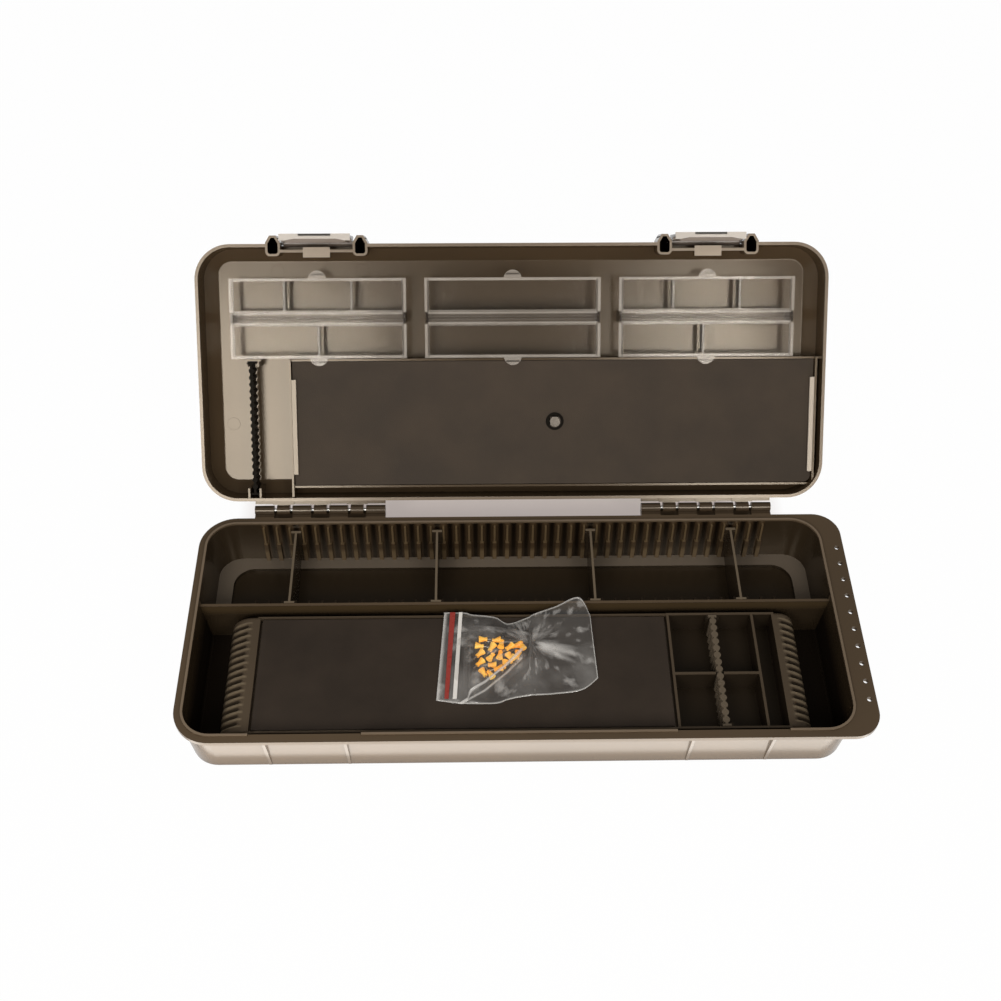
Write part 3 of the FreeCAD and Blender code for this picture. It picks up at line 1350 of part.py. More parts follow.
def rig_pins():
    """Lay each pin as low as it goes and turn it until it clears the pins before it."""
    radius = number("pin_head")
    length = number("pin_head_length")
    needle = number("pin_needle")
    ground = bag_foot() + BAG_SKIN + BAG_SLOPE + radius + 0.1
    heads, needles, laid = [], [], []
    for index, place in enumerate(PIN_PLACES):
        turns = [(index * 75 + step * 25) % 360 for step in range(15)]
        options = ((ground + rise, shift, turn) for rise in (0, 0.8, 1.6, 2.4, 3.2)
                   for shift in (0, 1, -1) for turn in turns)
        for level, shift, turn in options:
            spot = (place[0] + shift, place[1] - shift / 2)
            spheres = pin_spheres(spot, level, turn)
            if in_pouch(spheres) and clear_of(spheres, laid):
                break
        else:
            continue
        laid += spheres
        flare = Part.makeCone(radius, radius * 0.45, length * 0.8, Vector(), X_AXIS)
        collar = Part.makeCylinder(radius * 0.62, length * 0.2, Vector(length * 0.8, 0, 0),
                                   X_AXIS)
        head = flare.fuse(collar).removeSplitter()
        shaft = Part.makeCylinder(number("needle_radius"), needle, Vector(length, 0, 0), X_AXIS)
        for solid, group in ((head, heads), (shaft, needles)):
            solid.translate(Vector(-length / 2, 0, 0))
            solid.rotate(Vector(), Z_AXIS, turn)
            solid.translate(Vector(*spot, level))
            group.append(solid)
    for shapes, name, label in ((heads, "pin_heads", "rig_pin_heads"),
                                (needles, "pin_needles", "rig_pin_needles")):
        group = doc.addObject("Part::Feature", name)
        group.Shape = Part.makeCompound(shapes)
        node(group, label)


base_shell()
hinge_pins()
dividers()
rig_tray()
tray_contents()
lid_shell()
latches()
rig_board()
lid_strip()
mini_boxes()
pin_bag()
rig_pins()
doc.recompute()

failed = [item.Name for item in doc.Objects if {"Invalid", "Error"} & set(item.State)]
if failed:
    raise RuntimeError(f"failed objects: {failed}")
os.makedirs("parts", exist_ok=True)
for thing in NODES:
    shape = thing.Shape
    if shape.isNull() or not shape.isValid() or not shape.Solids:
        raise RuntimeError(f"{thing.Label} has no valid solid")
    shape.exportStep(f"parts/{thing.Label}.step")
    print(f"{thing.Label}: {len(shape.Solids)} solids, {shape.Volume:.0f} mm3")
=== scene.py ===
"""Looks of the rig box: materials for its moulded parts, and its foams, film bag and marks."""
import math
import bpy
from mathutils import Matrix, Vector


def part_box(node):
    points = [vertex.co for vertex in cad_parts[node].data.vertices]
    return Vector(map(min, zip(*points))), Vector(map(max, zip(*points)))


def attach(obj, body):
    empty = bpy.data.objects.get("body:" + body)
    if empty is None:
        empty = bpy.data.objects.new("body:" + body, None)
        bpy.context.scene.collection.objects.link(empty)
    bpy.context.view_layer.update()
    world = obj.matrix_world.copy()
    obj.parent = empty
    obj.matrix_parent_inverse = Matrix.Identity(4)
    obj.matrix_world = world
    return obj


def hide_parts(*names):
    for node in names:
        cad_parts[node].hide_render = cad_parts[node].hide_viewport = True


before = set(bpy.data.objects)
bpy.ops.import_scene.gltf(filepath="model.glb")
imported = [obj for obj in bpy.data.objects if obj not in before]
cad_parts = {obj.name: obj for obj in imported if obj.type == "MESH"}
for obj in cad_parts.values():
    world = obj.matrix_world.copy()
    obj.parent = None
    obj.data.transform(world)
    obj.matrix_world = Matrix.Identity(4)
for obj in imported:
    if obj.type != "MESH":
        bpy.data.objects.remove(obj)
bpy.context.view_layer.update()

# Camera and room: the box stands on a white sweep and is seen from the front, half from above.
# Two soft lamps stand in front of it, one each side, a dim one hangs over it, and a low one
# lies on the sweep before the front wall. Reflections see a room that gets darker upwards, and
# the camera and clear plastic see plain white.

CAMERA_PLACE = (-0.0205365, -0.4240891, 0.6595919)
CAMERA_PITCH = 0.885419466
CAMERA_YAW = -0.0254860528
CAMERA_ROLL = 0.0123176542
FOCAL_PIXELS = 1358.748
PHOTO_PIXELS = 1001
SENSOR = 36.0
NEAREST = 0.02
WARM = (1.0, 0.975, 0.94)
WHITE = (1.0, 1.0, 1.0, 1.0)

camera_data = bpy.data.cameras.new("camera")
camera_data.sensor_width = SENSOR
camera_data.lens = FOCAL_PIXELS * SENSOR / PHOTO_PIXELS
camera_data.clip_start = NEAREST
camera = bpy.data.objects.new("camera", camera_data)
bpy.context.scene.collection.objects.link(camera)
camera.matrix_world = (Matrix.Translation(CAMERA_PLACE)
                       @ Matrix.Rotation(CAMERA_YAW, 4, "Z")
                       @ Matrix.Rotation(math.pi / 2 - CAMERA_PITCH, 4, "X")
                       @ Matrix.Rotation(CAMERA_ROLL, 4, "Z"))
bpy.context.scene.camera = camera
bpy.context.scene.view_settings.view_transform = "Standard"


class Wire:
    """A socket of one finish. Arithmetic on it adds Math nodes."""

    def __init__(self, finish, socket):
        self.finish = finish
        self.socket = socket

    def math(self, operation, first, second=0.0, third=0.0):
        return self.finish.node("ShaderNodeMath", {"operation": operation},
                                {0: first, 1: second, 2: third})

    def __add__(self, other):
        return self.math("ADD", self, other)

    def __sub__(self, other):
        return self.math("SUBTRACT", self, other)

    def __rsub__(self, other):
        return self.math("SUBTRACT", other, self)

    def __abs__(self):
        return self.math("ABSOLUTE", self)

    def __mul__(self, other):
        return self.math("MULTIPLY", self, other)

    __radd__ = __add__
    __rmul__ = __mul__

    def over(self, level):
        """1 where the value is over a level."""
        return self.math("GREATER_THAN", self, level)

    def within(self, low, high):
        """0 at low, 1 at high, held between."""
        return self.finish.node("ShaderNodeMapRange", {"clamp": True},
                                {"Value": self, "From Min": low, "From Max": high})


class Finish:
    """One material. node() adds any node to it."""

    def __init__(self, name):
        self.material = bpy.data.materials.new(name)
        self.material.use_nodes = True
        self.tree = self.material.node_tree
        self.tree.nodes.clear()
        self.output = self.tree.nodes.new("ShaderNodeOutputMaterial")

    def node(self, kind, settings=None, inputs=None, out=0):
        node = self.tree.nodes.new(kind)
        for name, value in (settings or {}).items():
            setattr(node, name, value)
        for name, value in (inputs or {}).items():
            if isinstance(value, Wire):
                self.tree.links.new(value.socket, node.inputs[name])
            else:
                node.inputs[name].default_value = value
        return Wire(self, node.outputs[out])

    def place(self):
        """Object coordinates, in metres."""
        return self.node("ShaderNodeTexCoord", out="Object")

    def axis(self, place, index):
        """One of the three numbers of a place."""
        return self.node("ShaderNodeSeparateXYZ", {}, {"Vector": place}, out=index)

    def noise(self, place, scale, detail=2.0):
        return self.node("ShaderNodeTexNoise", {}, {"Vector": place, "Scale": scale,
                                                    "Detail": detail})

    def mix(self, share, first, second):
        """A colour between two colours."""
        node = self.tree.nodes.new("ShaderNodeMix")
        node.data_type = "RGBA"
        for socket, value in ((node.inputs[0], share), (node.inputs[6], first),
                              (node.inputs[7], second)):
            if isinstance(value, Wire):
                self.tree.links.new(value.socket, socket)
            else:
                socket.default_value = value
        return Wire(self, node.outputs[2])

    def bump(self, height, distance, strength=1.0):
        return self.node("ShaderNodeBump", {}, {"Height": height, "Distance": distance,
                                                "Strength": strength})

    def surface(self, shader):
        self.tree.links.new(shader.socket, self.output.inputs["Surface"])
        return self.material


def tone(red, green, blue):
    """A colour as it looks, from 0 to 255, made linear."""
    linear = [((value / 255 + 0.055) / 1.055) ** 2.4 if value > 10 else value / 255 / 12.92
              for value in (red, green, blue)]
    return (*linear, 1.0)


SWEEP_GLOW = 0.985
LID_SHADE = 0.63


def white_backdrop():
    """A sweep that looks white and lights as a warm grey, with a soft shade under the lid."""
    finish = Finish("white_sweep")
    path = {name: finish.node("ShaderNodeLightPath", out=name)
            for name in ("Is Camera Ray", "Is Glossy Ray", "Is Transmission Ray")}
    seen = path["Is Camera Ray"].math("MAXIMUM", path["Is Camera Ray"], path["Is Glossy Ray"])
    seen = seen.math("MAXIMUM", seen, path["Is Transmission Ray"])
    x, y = finish.axis(finish.place(), 0), finish.axis(finish.place(), 1)
    under_lid = abs(x).within(0.17, 0.13) * y.within(0.07, 0.09) * y.within(0.24, 0.18)
    plain = finish.node("ShaderNodeBsdfDiffuse", {}, {"Color": (0.80, 0.72, 0.66, 1.0)})
    bright = finish.node("ShaderNodeEmission", {},
                         {"Color": finish.mix(under_lid, WHITE, (1.0, 0.89, 0.85, 1.0)),
                          "Strength": 1.0})
    share = seen * (SWEEP_GLOW - under_lid * LID_SHADE)
    return finish.surface(finish.node("ShaderNodeMixShader", {},
                                      {0: share, 1: plain, 2: bright}))


bpy.ops.object.select_all(action="DESELECT")
bpy.ops.mesh.primitive_plane_add(size=6.0, location=(0, 0, -0.0002))
table = bpy.context.object
table.name = "table"
table.data.materials.append(white_backdrop())

world = bpy.data.worlds.new("room")
bpy.context.scene.world = world
world.use_nodes = True
room = world.node_tree
room.nodes.clear()
room_output = room.nodes.new("ShaderNodeOutputWorld")
room_light = room.nodes.new("ShaderNodeBackground")
room_light.inputs["Color"].default_value = (*WARM, 1.0)
room_light.inputs["Strength"].default_value = 0.30
room_white = room.nodes.new("ShaderNodeBackground")
room_white.inputs["Color"].default_value = WHITE
room_white.inputs["Strength"].default_value = 1.0
room_gloss = room.nodes.new("ShaderNodeBackground")
room_way = room.nodes.new("ShaderNodeTexCoord")
room_split = room.nodes.new("ShaderNodeSeparateXYZ")
room_height = room.nodes.new("ShaderNodeMapRange")
for end, value in (("From Min", 0.05), ("From Max", 0.45), ("To Min", 1.0), ("To Max", 0.10)):
    room_height.inputs[end].default_value = value
room.links.new(room_way.outputs["Generated"], room_split.inputs[0])
room.links.new(room_split.outputs["Z"], room_height.inputs["Value"])
room.links.new(room_height.outputs[0], room_gloss.inputs["Strength"])
room_path = room.nodes.new("ShaderNodeLightPath")
room_shader = room_light.outputs[0]
for ray, background in (("Is Glossy Ray", room_gloss), ("Is Transmission Ray", room_white),
                        ("Is Camera Ray", room_white)):
    room_mix = room.nodes.new("ShaderNodeMixShader")
    room.links.new(room_path.outputs[ray], room_mix.inputs[0])
    room.links.new(room_shader, room_mix.inputs[1])
    room.links.new(background.outputs[0], room_mix.inputs[2])
    room_shader = room_mix.outputs[0]
room.links.new(room_shader, room_output.inputs["Surface"])


def soft_lamp(name, place, target, size, power):
    data = bpy.data.lights.new(name, "AREA")
    data.shape = "RECTANGLE"
    data.size, data.size_y = size
    data.energy = power
    data.color = WARM
    lamp = bpy.data.objects.new(name, data)
    bpy.context.scene.collection.objects.link(lamp)
    way = Vector(target) - Vector(place)
    lamp.matrix_world = Matrix.Translation(place) @ way.to_track_quat("-Z", "Y").to_matrix().to_4x4()
    return lamp


LID_MIDDLE = (0.0, 0.135, 0.095)
soft_lamp("lamp_left", (-0.325, -0.74, 0.64), LID_MIDDLE, (0.27, 0.46), 4.5)
soft_lamp("lamp_right", (0.310, -0.74, 0.64), LID_MIDDLE, (0.17, 0.46), 3.1)
soft_lamp("lamp_over", (0.0, 0.10, 1.50), (0.0, 0.0, 0.0), (0.9, 0.7), 1.4)
lamp_low = soft_lamp("lamp_low", (0.0, -0.17, 0.0004), (0.0, -0.17, 1.0), (0.64, 0.19), 1.12)
lamp_low.visible_camera = False


# Base: dark olive plastic, injection moulded. Its tongue, its ledge and the crests of its ribs carry
# painted highlights, and its inside and floor are darker with painted shade, as is its hinge.

def moulded_plastic(name, colour, shine, grain=0.00004, gloss=0.5, warmth=(1.0, 0.88, 0.72),
                    patches=None, pits=None):
    """Shine is the roughness, gloss the specular level, and warmth the tint of its gloss.
    Patches gives pairs of a mask and the colour painted there, as painted highlights and painted
    shade, and pits a mask of hollows where a black diffuse is mixed in as painted shade."""
    finish = Finish(name)
    place = finish.place()
    flow = finish.noise(place, 9.0, 3.0)
    speck = finish.noise(place, 900.0, 2.0)
    faint = flow.within(0.35, 0.7)
    shade = finish.mix(faint, tone(*colour), tone(*[value * 0.9 for value in colour]))
    for mask, patch in (patches(finish) if patches else ()):
        shade = finish.mix(mask, shade, finish.mix(faint, tone(*patch),
                                                   tone(*[value * 0.93 for value in patch])))
    rough = flow.within(0.3, 0.75) * 0.05 + speck * 0.05 + (shine - 0.03)
    normal = finish.bump(speck, grain, 0.4)
    shader = finish.node("ShaderNodeBsdfPrincipled", {},
                         {"Base Color": shade, "Roughness": rough, "Normal": normal,
                          "Specular IOR Level": gloss, "Specular Tint": (*warmth, 1.0)})
    if pits:
        # Painted shade: a black diffuse mixed in where the pits lie.
        black = finish.node("ShaderNodeBsdfDiffuse", {}, {"Color": tone(16, 12, 9)})
        shader = finish.node("ShaderNodeMixShader", {}, {0: pits(finish), 1: shader, 2: black})
    return finish.surface(shader)


def dress(material, *names):
    for name in names:
        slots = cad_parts[name].data.materials
        slots.clear()
        slots.append(material)


def axes(finish):
    place = finish.place()
    return [finish.axis(place, index) for index in range(3)]


def from_middle(value, middle, pitch):
    """How far a value is from the nearest of a row of middles."""
    shifted = value - middle
    return abs(shifted.math("WRAP", shifted, pitch / 2, -pitch / 2))


def most(first, *others):
    """The greatest of some masks."""
    for other in others:
        first = first.math("MAXIMUM", first, other)
    return first


# Where the base's forms lie, in metres, for the masks of its colours.
LEDGE_TOP = 0.0054
PARTITION_TOP = 0.0310
PARTITION_FRONT, PARTITION_BACK = 0.0144, 0.0162
BASE_TOP = 0.0350
TONGUE_TOP = 0.0362
WALL_LEAN = 0.0875
SLOT_PITCH = 0.0075
RIBS_END = 0.1480
RIBS_FRONT = 0.0600
CREST_INNER, CREST_OUTER = 0.0672, 0.0692
STUB_REACH = 0.0023
FENCE_LOW, FENCE_HIGH = 0.0225, 0.0275
MOUTH_LENGTH, MOUTH_WIDTH, MOUTH_CORNER = 0.1775, 0.0704, 0.2406
GAP_START, GAP_END = 0.1480, 0.1520
GAP_TOP, GAP_DEEP = 0.0290, 0.0170
HINGE_LINE = 0.0752
FADE = 0.0002
PIT_SHADE = 0.85


def base_depths(x, y, z):
    """How far out a point is along and across, with the lean of the walls taken off, and
    whether it is inside the base's mouth."""
    leaning = (BASE_TOP - z) * WALL_LEAN
    along, across = abs(x) + leaning, abs(y) + leaning
    inside = (along.within(MOUTH_LENGTH, MOUTH_LENGTH - FADE)
              * across.within(MOUTH_WIDTH, MOUTH_WIDTH - FADE)
              * (along + across).within(MOUTH_CORNER, MOUTH_CORNER - 2 * FADE))
    return along, across, inside


def base_patches(finish):
    x, y, z = axes(finish)
    across, inside = base_depths(x, y, z)[1:]
    inside = inside * z.within(BASE_TOP - 0.0001, BASE_TOP - 0.0002)
    behind = y.within(PARTITION_BACK, PARTITION_BACK + FADE)
    front = y.within(PARTITION_FRONT + 0.0001, PARTITION_FRONT)
    sunk = z.within(PARTITION_TOP - 0.0001, PARTITION_TOP - 0.0003)
    plain = most(sunk, behind, front)
    ledge = abs(z - LEDGE_TOP).within(0.0003, 0.0001) * behind
    stubs = behind * y.within(PARTITION_BACK + STUB_REACH + FADE, PARTITION_BACK + STUB_REACH)
    fence = front * y.within(PARTITION_FRONT - 0.0003, PARTITION_FRONT - 0.0001) * sunk
    fence = fence * z.within(FENCE_LOW, FENCE_HIGH)
    ribbed = (inside * abs(x).within(RIBS_END, RIBS_END - 0.0003)
              * y.within(RIBS_FRONT, RIBS_FRONT + 0.001))
    crest = (ribbed * across.within(CREST_INNER, CREST_INNER + FADE)
             * across.within(CREST_OUTER, CREST_OUTER - FADE))
    slots = ribbed * from_middle(x, SLOT_PITCH / 2, SLOT_PITCH).within(0.0008, 0.0030)
    tongue = z.within(TONGUE_TOP - 0.0002, TONGUE_TOP - 0.0001)
    # Painted shade darkens the inside, less on the ribbed back wall and on a band of the partition's
    # front, most just behind the partition and in the slots between the ribs. Painted highlights
    # lighten the rib crests, the ledge and the tongue, and the hinge is painted in shade.
    return ((inside * plain, (50, 40, 28)), (inside * stubs, (32, 24, 15)),
            (inside * fence, (72, 58, 39)), (ribbed, (68, 53, 36)),
            (slots, (17, 11, 6)), (crest, (98, 81, 58)), (inside * ledge, (112, 101, 88)),
            (tongue, (126, 110, 92)),
            (y.within(HINGE_LINE, HINGE_LINE + FADE), (64, 52, 39)))


def base_pits(finish):
    """Painted shade in the deep gap at each end of the tray."""
    x, y, z = axes(finish)
    along, inside = base_depths(x, y, z)[::2]
    gap = along.within(GAP_START, GAP_END) * y.within(PARTITION_FRONT, PARTITION_FRONT - FADE)
    return gap * inside * z.within(GAP_TOP, GAP_DEEP) * PIT_SHADE


base_plastic = moulded_plastic("base_plastic", (92, 77, 60), 0.2, patches=base_patches,
                               pits=base_pits)
dress(base_plastic, "base_shell")


# Dividers: four thin plates of a darker olive plastic, with a painted highlight on their top edges.

def divider_patches(finish):
    z = axes(finish)[2]
    # Painted highlight on the top edges.
    return ((z.within(PARTITION_TOP - 0.0002, PARTITION_TOP - 0.0001), (112, 99, 82)),)


divider_plastic = moulded_plastic("divider_plastic", (52, 42, 31), 0.24, patches=divider_patches)
dress(divider_plastic, "divider_1", "divider_2", "divider_3", "divider_4")


# Lid: olive plastic too, with painted highlights along its rim, on its latch bosses and on its lips,
# and painted shade on its hinge. The hollows of its latch ears lie in painted shade.

HINGE = Vector((0.0, 0.0797, 0.0358))
OPEN_TURN = math.radians(-131.3)
CEILING = 0.0572
SWING = (Matrix.Translation(HINGE) @ Matrix.Rotation(OPEN_TURN, 4, "X")
         @ Matrix.Translation(-HINGE))
UNSWING = SWING.inverted()
LATCH_PLACE = 0.112
LID_SEAM = 0.0352
BOSS_HALF, BOSS_FRONT = 0.0077, -0.0662
LIP_LEVEL = 0.0387
LIPS_ALONG, LIPS_ACROSS = 0.02375, 0.0312
EAR_ASIDE, EAR_HALF = 0.0249, 0.0029
EAR_MIDDLE, EAR_REACH = -0.0732, 0.0045
EAR_CEILING = 0.0496


def shut_place(finish):
    """Places on a lid piece as they are with the lid shut."""
    shut = finish.node("ShaderNodeMapping", {},
                       {"Vector": finish.place(), "Location": UNSWING.to_translation(),
                        "Rotation": UNSWING.to_euler("XYZ")})
    return [finish.axis(shut, index) for index in range(3)]


def lid_patches(finish):
    x, y, z = shut_place(finish)
    rim = z.within(LID_SEAM + 0.0003, LID_SEAM + 0.0001) * y.within(HINGE_LINE, HINGE_LINE - FADE)
    boss = (abs(abs(x) - LATCH_PLACE).within(BOSS_HALF + FADE, BOSS_HALF)
            * y.within(BOSS_FRONT, BOSS_FRONT - FADE))
    away = abs(x - LIPS_ALONG)
    lips = (abs(z - LIP_LEVEL).within(0.0009, 0.0008)
            * abs(y - LIPS_ACROSS).within(0.0280, 0.0279)
            * away.within(0.1499, 0.1500) * away.within(0.1539, 0.1538))
    hinge = y.within(HINGE_LINE, HINGE_LINE + FADE)
    # Painted highlights on the rim, brighter where it meets the latch bosses, and on the lips at the
    # board's ends, the right lip brighter than the left; painted shade on the hinge.
    return ((rim, (132, 118, 103)), (boss * rim, (156, 142, 127)), (hinge, (66, 53, 39)),
            (lips * x.within(0.0, -0.001), (124, 112, 98)),
            (lips * x.within(0.0, 0.001), (184, 172, 158)))


def ear_hollows(finish):
    x, y, z = shut_place(finish)
    off = abs(abs(abs(x) - LATCH_PLACE) - EAR_ASIDE)
    # Painted shade in the hollows of the latch ears.
    return (off.within(EAR_HALF + FADE, EAR_HALF)
            * abs(y - EAR_MIDDLE).within(EAR_REACH + FADE, EAR_REACH)
            * z.within(EAR_CEILING + FADE, EAR_CEILING)
            * z.within(LID_SEAM + 0.0001, LID_SEAM + 0.0005))


olive_plastic = moulded_plastic("olive_plastic", (80, 65, 48), 0.17, patches=lid_patches,
                                pits=ear_hollows)
dress(olive_plastic, "lid_shell")


# Rig tray and its beaded divider: the same plastic with a softer sheen. The crests of the
# grooves on its shoulders carry a painted highlight, and its cells, its grooves and the feet of
# its shoulders are darkened with painted shade.

TRAY_TOP = 0.0280
SHOULDER = 0.1470
GROOVE_PITCH = 0.0044
GROOVE_MIDDLE = -0.02755
GROOVES_HALF = 0.0335
CELLS_LEFT, CELLS_RIGHT = 0.0842, 0.1454


def tray_patches(finish):
    x, y, z = axes(finish)
    crest = (from_middle(y, GROOVE_MIDDLE + GROOVE_PITCH / 2, GROOVE_PITCH).within(0.0009, 0.0004)
             * abs(x).within(SHOULDER - 0.0005, SHOULDER + 0.001)
             * abs(y - GROOVE_MIDDLE).within(GROOVES_HALF, GROOVES_HALF - 0.0005))
    cells = (z.within(TRAY_TOP - 0.0004, TRAY_TOP - 0.0008)
             * x.within(CELLS_LEFT, CELLS_LEFT + 0.0004)
             * x.within(CELLS_RIGHT, CELLS_RIGHT - 0.0004))
    # Painted shade in the cells, and a painted highlight on the crests of the grooves.
    return ((cells, (40, 32, 23)), (crest, (116, 103, 84)))


def tray_pits(finish):
    """Painted shade in the grooves on the shoulders, and at the feet of the shoulders."""
    x, y, z = axes(finish)
    groove = (from_middle(y, GROOVE_MIDDLE, GROOVE_PITCH).within(0.0013, 0.0008)
              * abs(y - GROOVE_MIDDLE).within(GROOVES_HALF, GROOVES_HALF - 0.0005)
              * z.within(TRAY_TOP - 0.0004, TRAY_TOP - 0.0012))
    low = z.within(TRAY_TOP - 0.006, TRAY_TOP - 0.013)
    return most(groove * 0.7, low) * abs(x).within(SHOULDER, SHOULDER + 0.001)


tray_plastic = moulded_plastic("tray_plastic", (84, 72, 58), 0.3, gloss=0.3,
                               patches=tray_patches, pits=tray_pits)
dress(tray_plastic, "rig_tray")

bead_plastic = moulded_plastic("bead_plastic", (106, 94, 79), 0.24)
dress(bead_plastic, "tray_bead_divider")


# Beaded strip of the lid and the stud's ring: a black plastic with a dull sheen.

black_plastic = moulded_plastic("black_plastic", (18, 15, 12), 0.45, gloss=0.06)
dress(black_plastic, "lid_bead_strip", "board_ring")


# Hinge and latch pins: drawn steel with fine lines along them. The rig pins' needles share it.

def drawn_steel():
    finish = Finish("drawn_steel")
    place = finish.place()
    stretched = finish.node("ShaderNodeMapping", {}, {"Vector": place,
                                                      "Scale": (40.0, 2500.0, 2500.0)})
    lines = finish.noise(stretched, 1.0, 2.0)
    shade = finish.mix(lines, tone(176, 174, 170), tone(206, 204, 200))
    shader = finish.node("ShaderNodeBsdfPrincipled", {},
                         {"Base Color": shade, "Metallic": 1.0,
                          "Roughness": lines * 0.2 + 0.22})
    return finish.surface(shader)


steel = drawn_steel()
dress(steel, "hinge_pin_left", "hinge_pin_right", "latch_pin_left", "latch_pin_right",
      "rig_pin_needles")


# Latches: one pale grey plate each, moulded in a glossy plastic. Above its grip each is painted
# darker as painted shade.

GRIP_TOP = 0.0277
SLOT_HALF, SLOT_MIDDLE = 0.0090, -0.0794


def latch_patches(finish):
    z = shut_place(finish)[2]
    # Painted shade: the latch is darker above its grip.
    return ((z.within(GRIP_TOP + 0.0001, GRIP_TOP + 0.0003), (122, 109, 98)),)


def latch_slots(finish):
    """The slot in the latch's grip, which lies in shade."""
    x, y, z = shut_place(finish)
    return (abs(abs(x) - LATCH_PLACE).within(SLOT_HALF + FADE, SLOT_HALF)
            * abs(y - SLOT_MIDDLE).within(0.0008, 0.0006)
            * z.within(GRIP_TOP - 0.0002, GRIP_TOP - 0.0004) * PIT_SHADE)


latch_plastic = moulded_plastic("latch_plastic", (206, 198, 189), 0.2, 0.00001,
                                warmth=(1.0, 0.97, 0.94), patches=latch_patches,
                                pits=latch_slots)
dress(latch_plastic, "latch_left", "latch_right")


# Stud through the board: a domed head with a dull plated look.

def plated(name):
    finish = Finish(name)
    speck = finish.noise(finish.place(), 700.0, 2.0)
    shader = finish.node("ShaderNodeBsdfPrincipled", {},
                         {"Base Color": finish.mix(speck, tone(112, 104, 94), tone(124, 116, 106)),
                          "Metallic": 0.5, "Roughness": speck * 0.08 + 0.22})
    return finish.surface(shader)


stud_metal = plated("stud_metal")
dress(stud_metal, "board_stud")


# Ejector marks: shallow round lands on the lid's floor, left by the mould's pins.

def keep(piece, name, material, swing=False):
    """Put the object's place in its mesh, name it and give it its material."""
    piece.name = name
    piece.data.name = name
    moved = SWING @ piece.matrix_world if swing else piece.matrix_world.copy()
    piece.data.transform(moved)
    piece.matrix_world = Matrix.Identity(4)
    piece.data.materials.clear()
    piece.data.materials.append(material)
    return piece


def finish_modifiers(piece):
    bpy.context.view_layer.objects.active = piece
    for modifier in list(piece.modifiers):
        bpy.ops.object.modifier_apply(modifier=modifier.name)


def bevelled(piece, width, segments=2):
    modifier = piece.modifiers.new("bevel", "BEVEL")
    modifier.width = width
    modifier.segments = segments
    modifier.limit_method = "ANGLE"
    finish_modifiers(piece)


LAND_RADIUS = 0.0038
LAND_RISE = 0.00016
LANDS = ((-0.1374, -0.0589), (-0.0878, -0.0591), (-0.1664, 0.0308))
marks = []
for index, (x, y) in enumerate(LANDS):
    bpy.ops.object.select_all(action="DESELECT")
    bpy.ops.mesh.primitive_cylinder_add(vertices=40, radius=LAND_RADIUS, depth=LAND_RISE * 2,
                                        location=(x, y, CEILING))
    land = bpy.context.object
    bevelled(land, LAND_RISE * 0.6, 2)
    marks.append(keep(land, f"ejector_mark_{index + 1}", olive_plastic, swing=True))
for land in marks:
    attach(land, "lid")


# Small boxes in the lid: three trays with two flaps each, moulded in clear plastic. The dark
# lid shows through their thin faces, while their rims, borders and tabs carry painted highlights,
# and lines of painted shade run along the hinges, inside the borders, across the tabs and under
# the rims.

BOX_PITCH = 0.1124
BOX_MIDDLE = -0.0319
BOX_HALF_LENGTH, BOX_HALF_WIDTH = 0.0509, 0.023
TRAY_RIM = 0.0394
BORDER = 0.0016
BARRELS = 0.0034
HINGE_END = 0.0486
BARREL_FLANK = 0.0028
TAB_LINE = 0.0251


def box_place(finish):
    """How far a point is from its box's middle along and out, and its height, lid shut."""
    x, y, z = shut_place(finish)
    return from_middle(x, 0.0, BOX_PITCH), abs(y - BOX_MIDDLE), z


def clear_plastic(name, pale, dark, thin, highlight_share):
    """Pale and dark are masks of painted highlight and painted shade. Thin is the share of plastic
    seen on a thin plain face, and highlight_share the share where the painted highlight lies."""
    finish = Finish(name)
    along, out, up = box_place(finish)
    pale, dark = pale(along, out, up), dark(along, out, up)
    cloud = finish.noise(finish.place(), 60.0, 3.0)
    edge = finish.node("ShaderNodeLayerWeight", {}, {"Blend": 0.3}, out="Facing")
    shade = finish.mix(cloud.within(0.35, 0.65), tone(192, 183, 172), tone(206, 198, 188))
    # Painted shade: a dark brown where the dark mask lies.
    shade = finish.mix(dark, shade, tone(60, 51, 43))
    through = finish.node("ShaderNodeBsdfTransparent", {}, {"Color": (1.0, 0.999, 0.998, 1.0)})
    solid = finish.node("ShaderNodeBsdfPrincipled", {},
                        {"Base Color": shade, "Roughness": cloud * 0.06 + 0.08,
                         "Specular Tint": (1.0, 0.93, 0.84, 1.0)})
    # The painted highlight shows as more of the pale solid plastic.
    share = most(pale * highlight_share, dark * 0.6, edge.within(0.1, 0.75) * 0.16 + thin)
    return finish.surface(finish.node("ShaderNodeMixShader", {},
                                      {0: share, 1: through, 2: solid}))


def tray_pale(along, out, up):
    # Painted highlight along the rim of the tray.
    return up.within(TRAY_RIM + 0.0004, TRAY_RIM + 0.0002)


def tray_dark(along, out, up):
    """Painted shade at the ends of the hinge, and half as much on the inside faces just under the
    rims.
    """
    ends = out.within(BARRELS, BARRELS - 0.0002) * along.within(HINGE_END, HINGE_END + 0.0004)
    under = abs(up - TRAY_RIM - 0.0014).within(0.0010, 0.0007)
    return most(ends, under * 0.5)


def flap_pale(along, out, up):
    """Painted highlight on the border of a flap, and on the flank of its barrel."""
    return most(along.within(BOX_HALF_LENGTH - BORDER, BOX_HALF_LENGTH - BORDER + 0.0002),
                out.within(BOX_HALF_WIDTH - BORDER, BOX_HALF_WIDTH - BORDER + 0.0002),
                abs(out - BARREL_FLANK).within(0.0006, 0.0004))


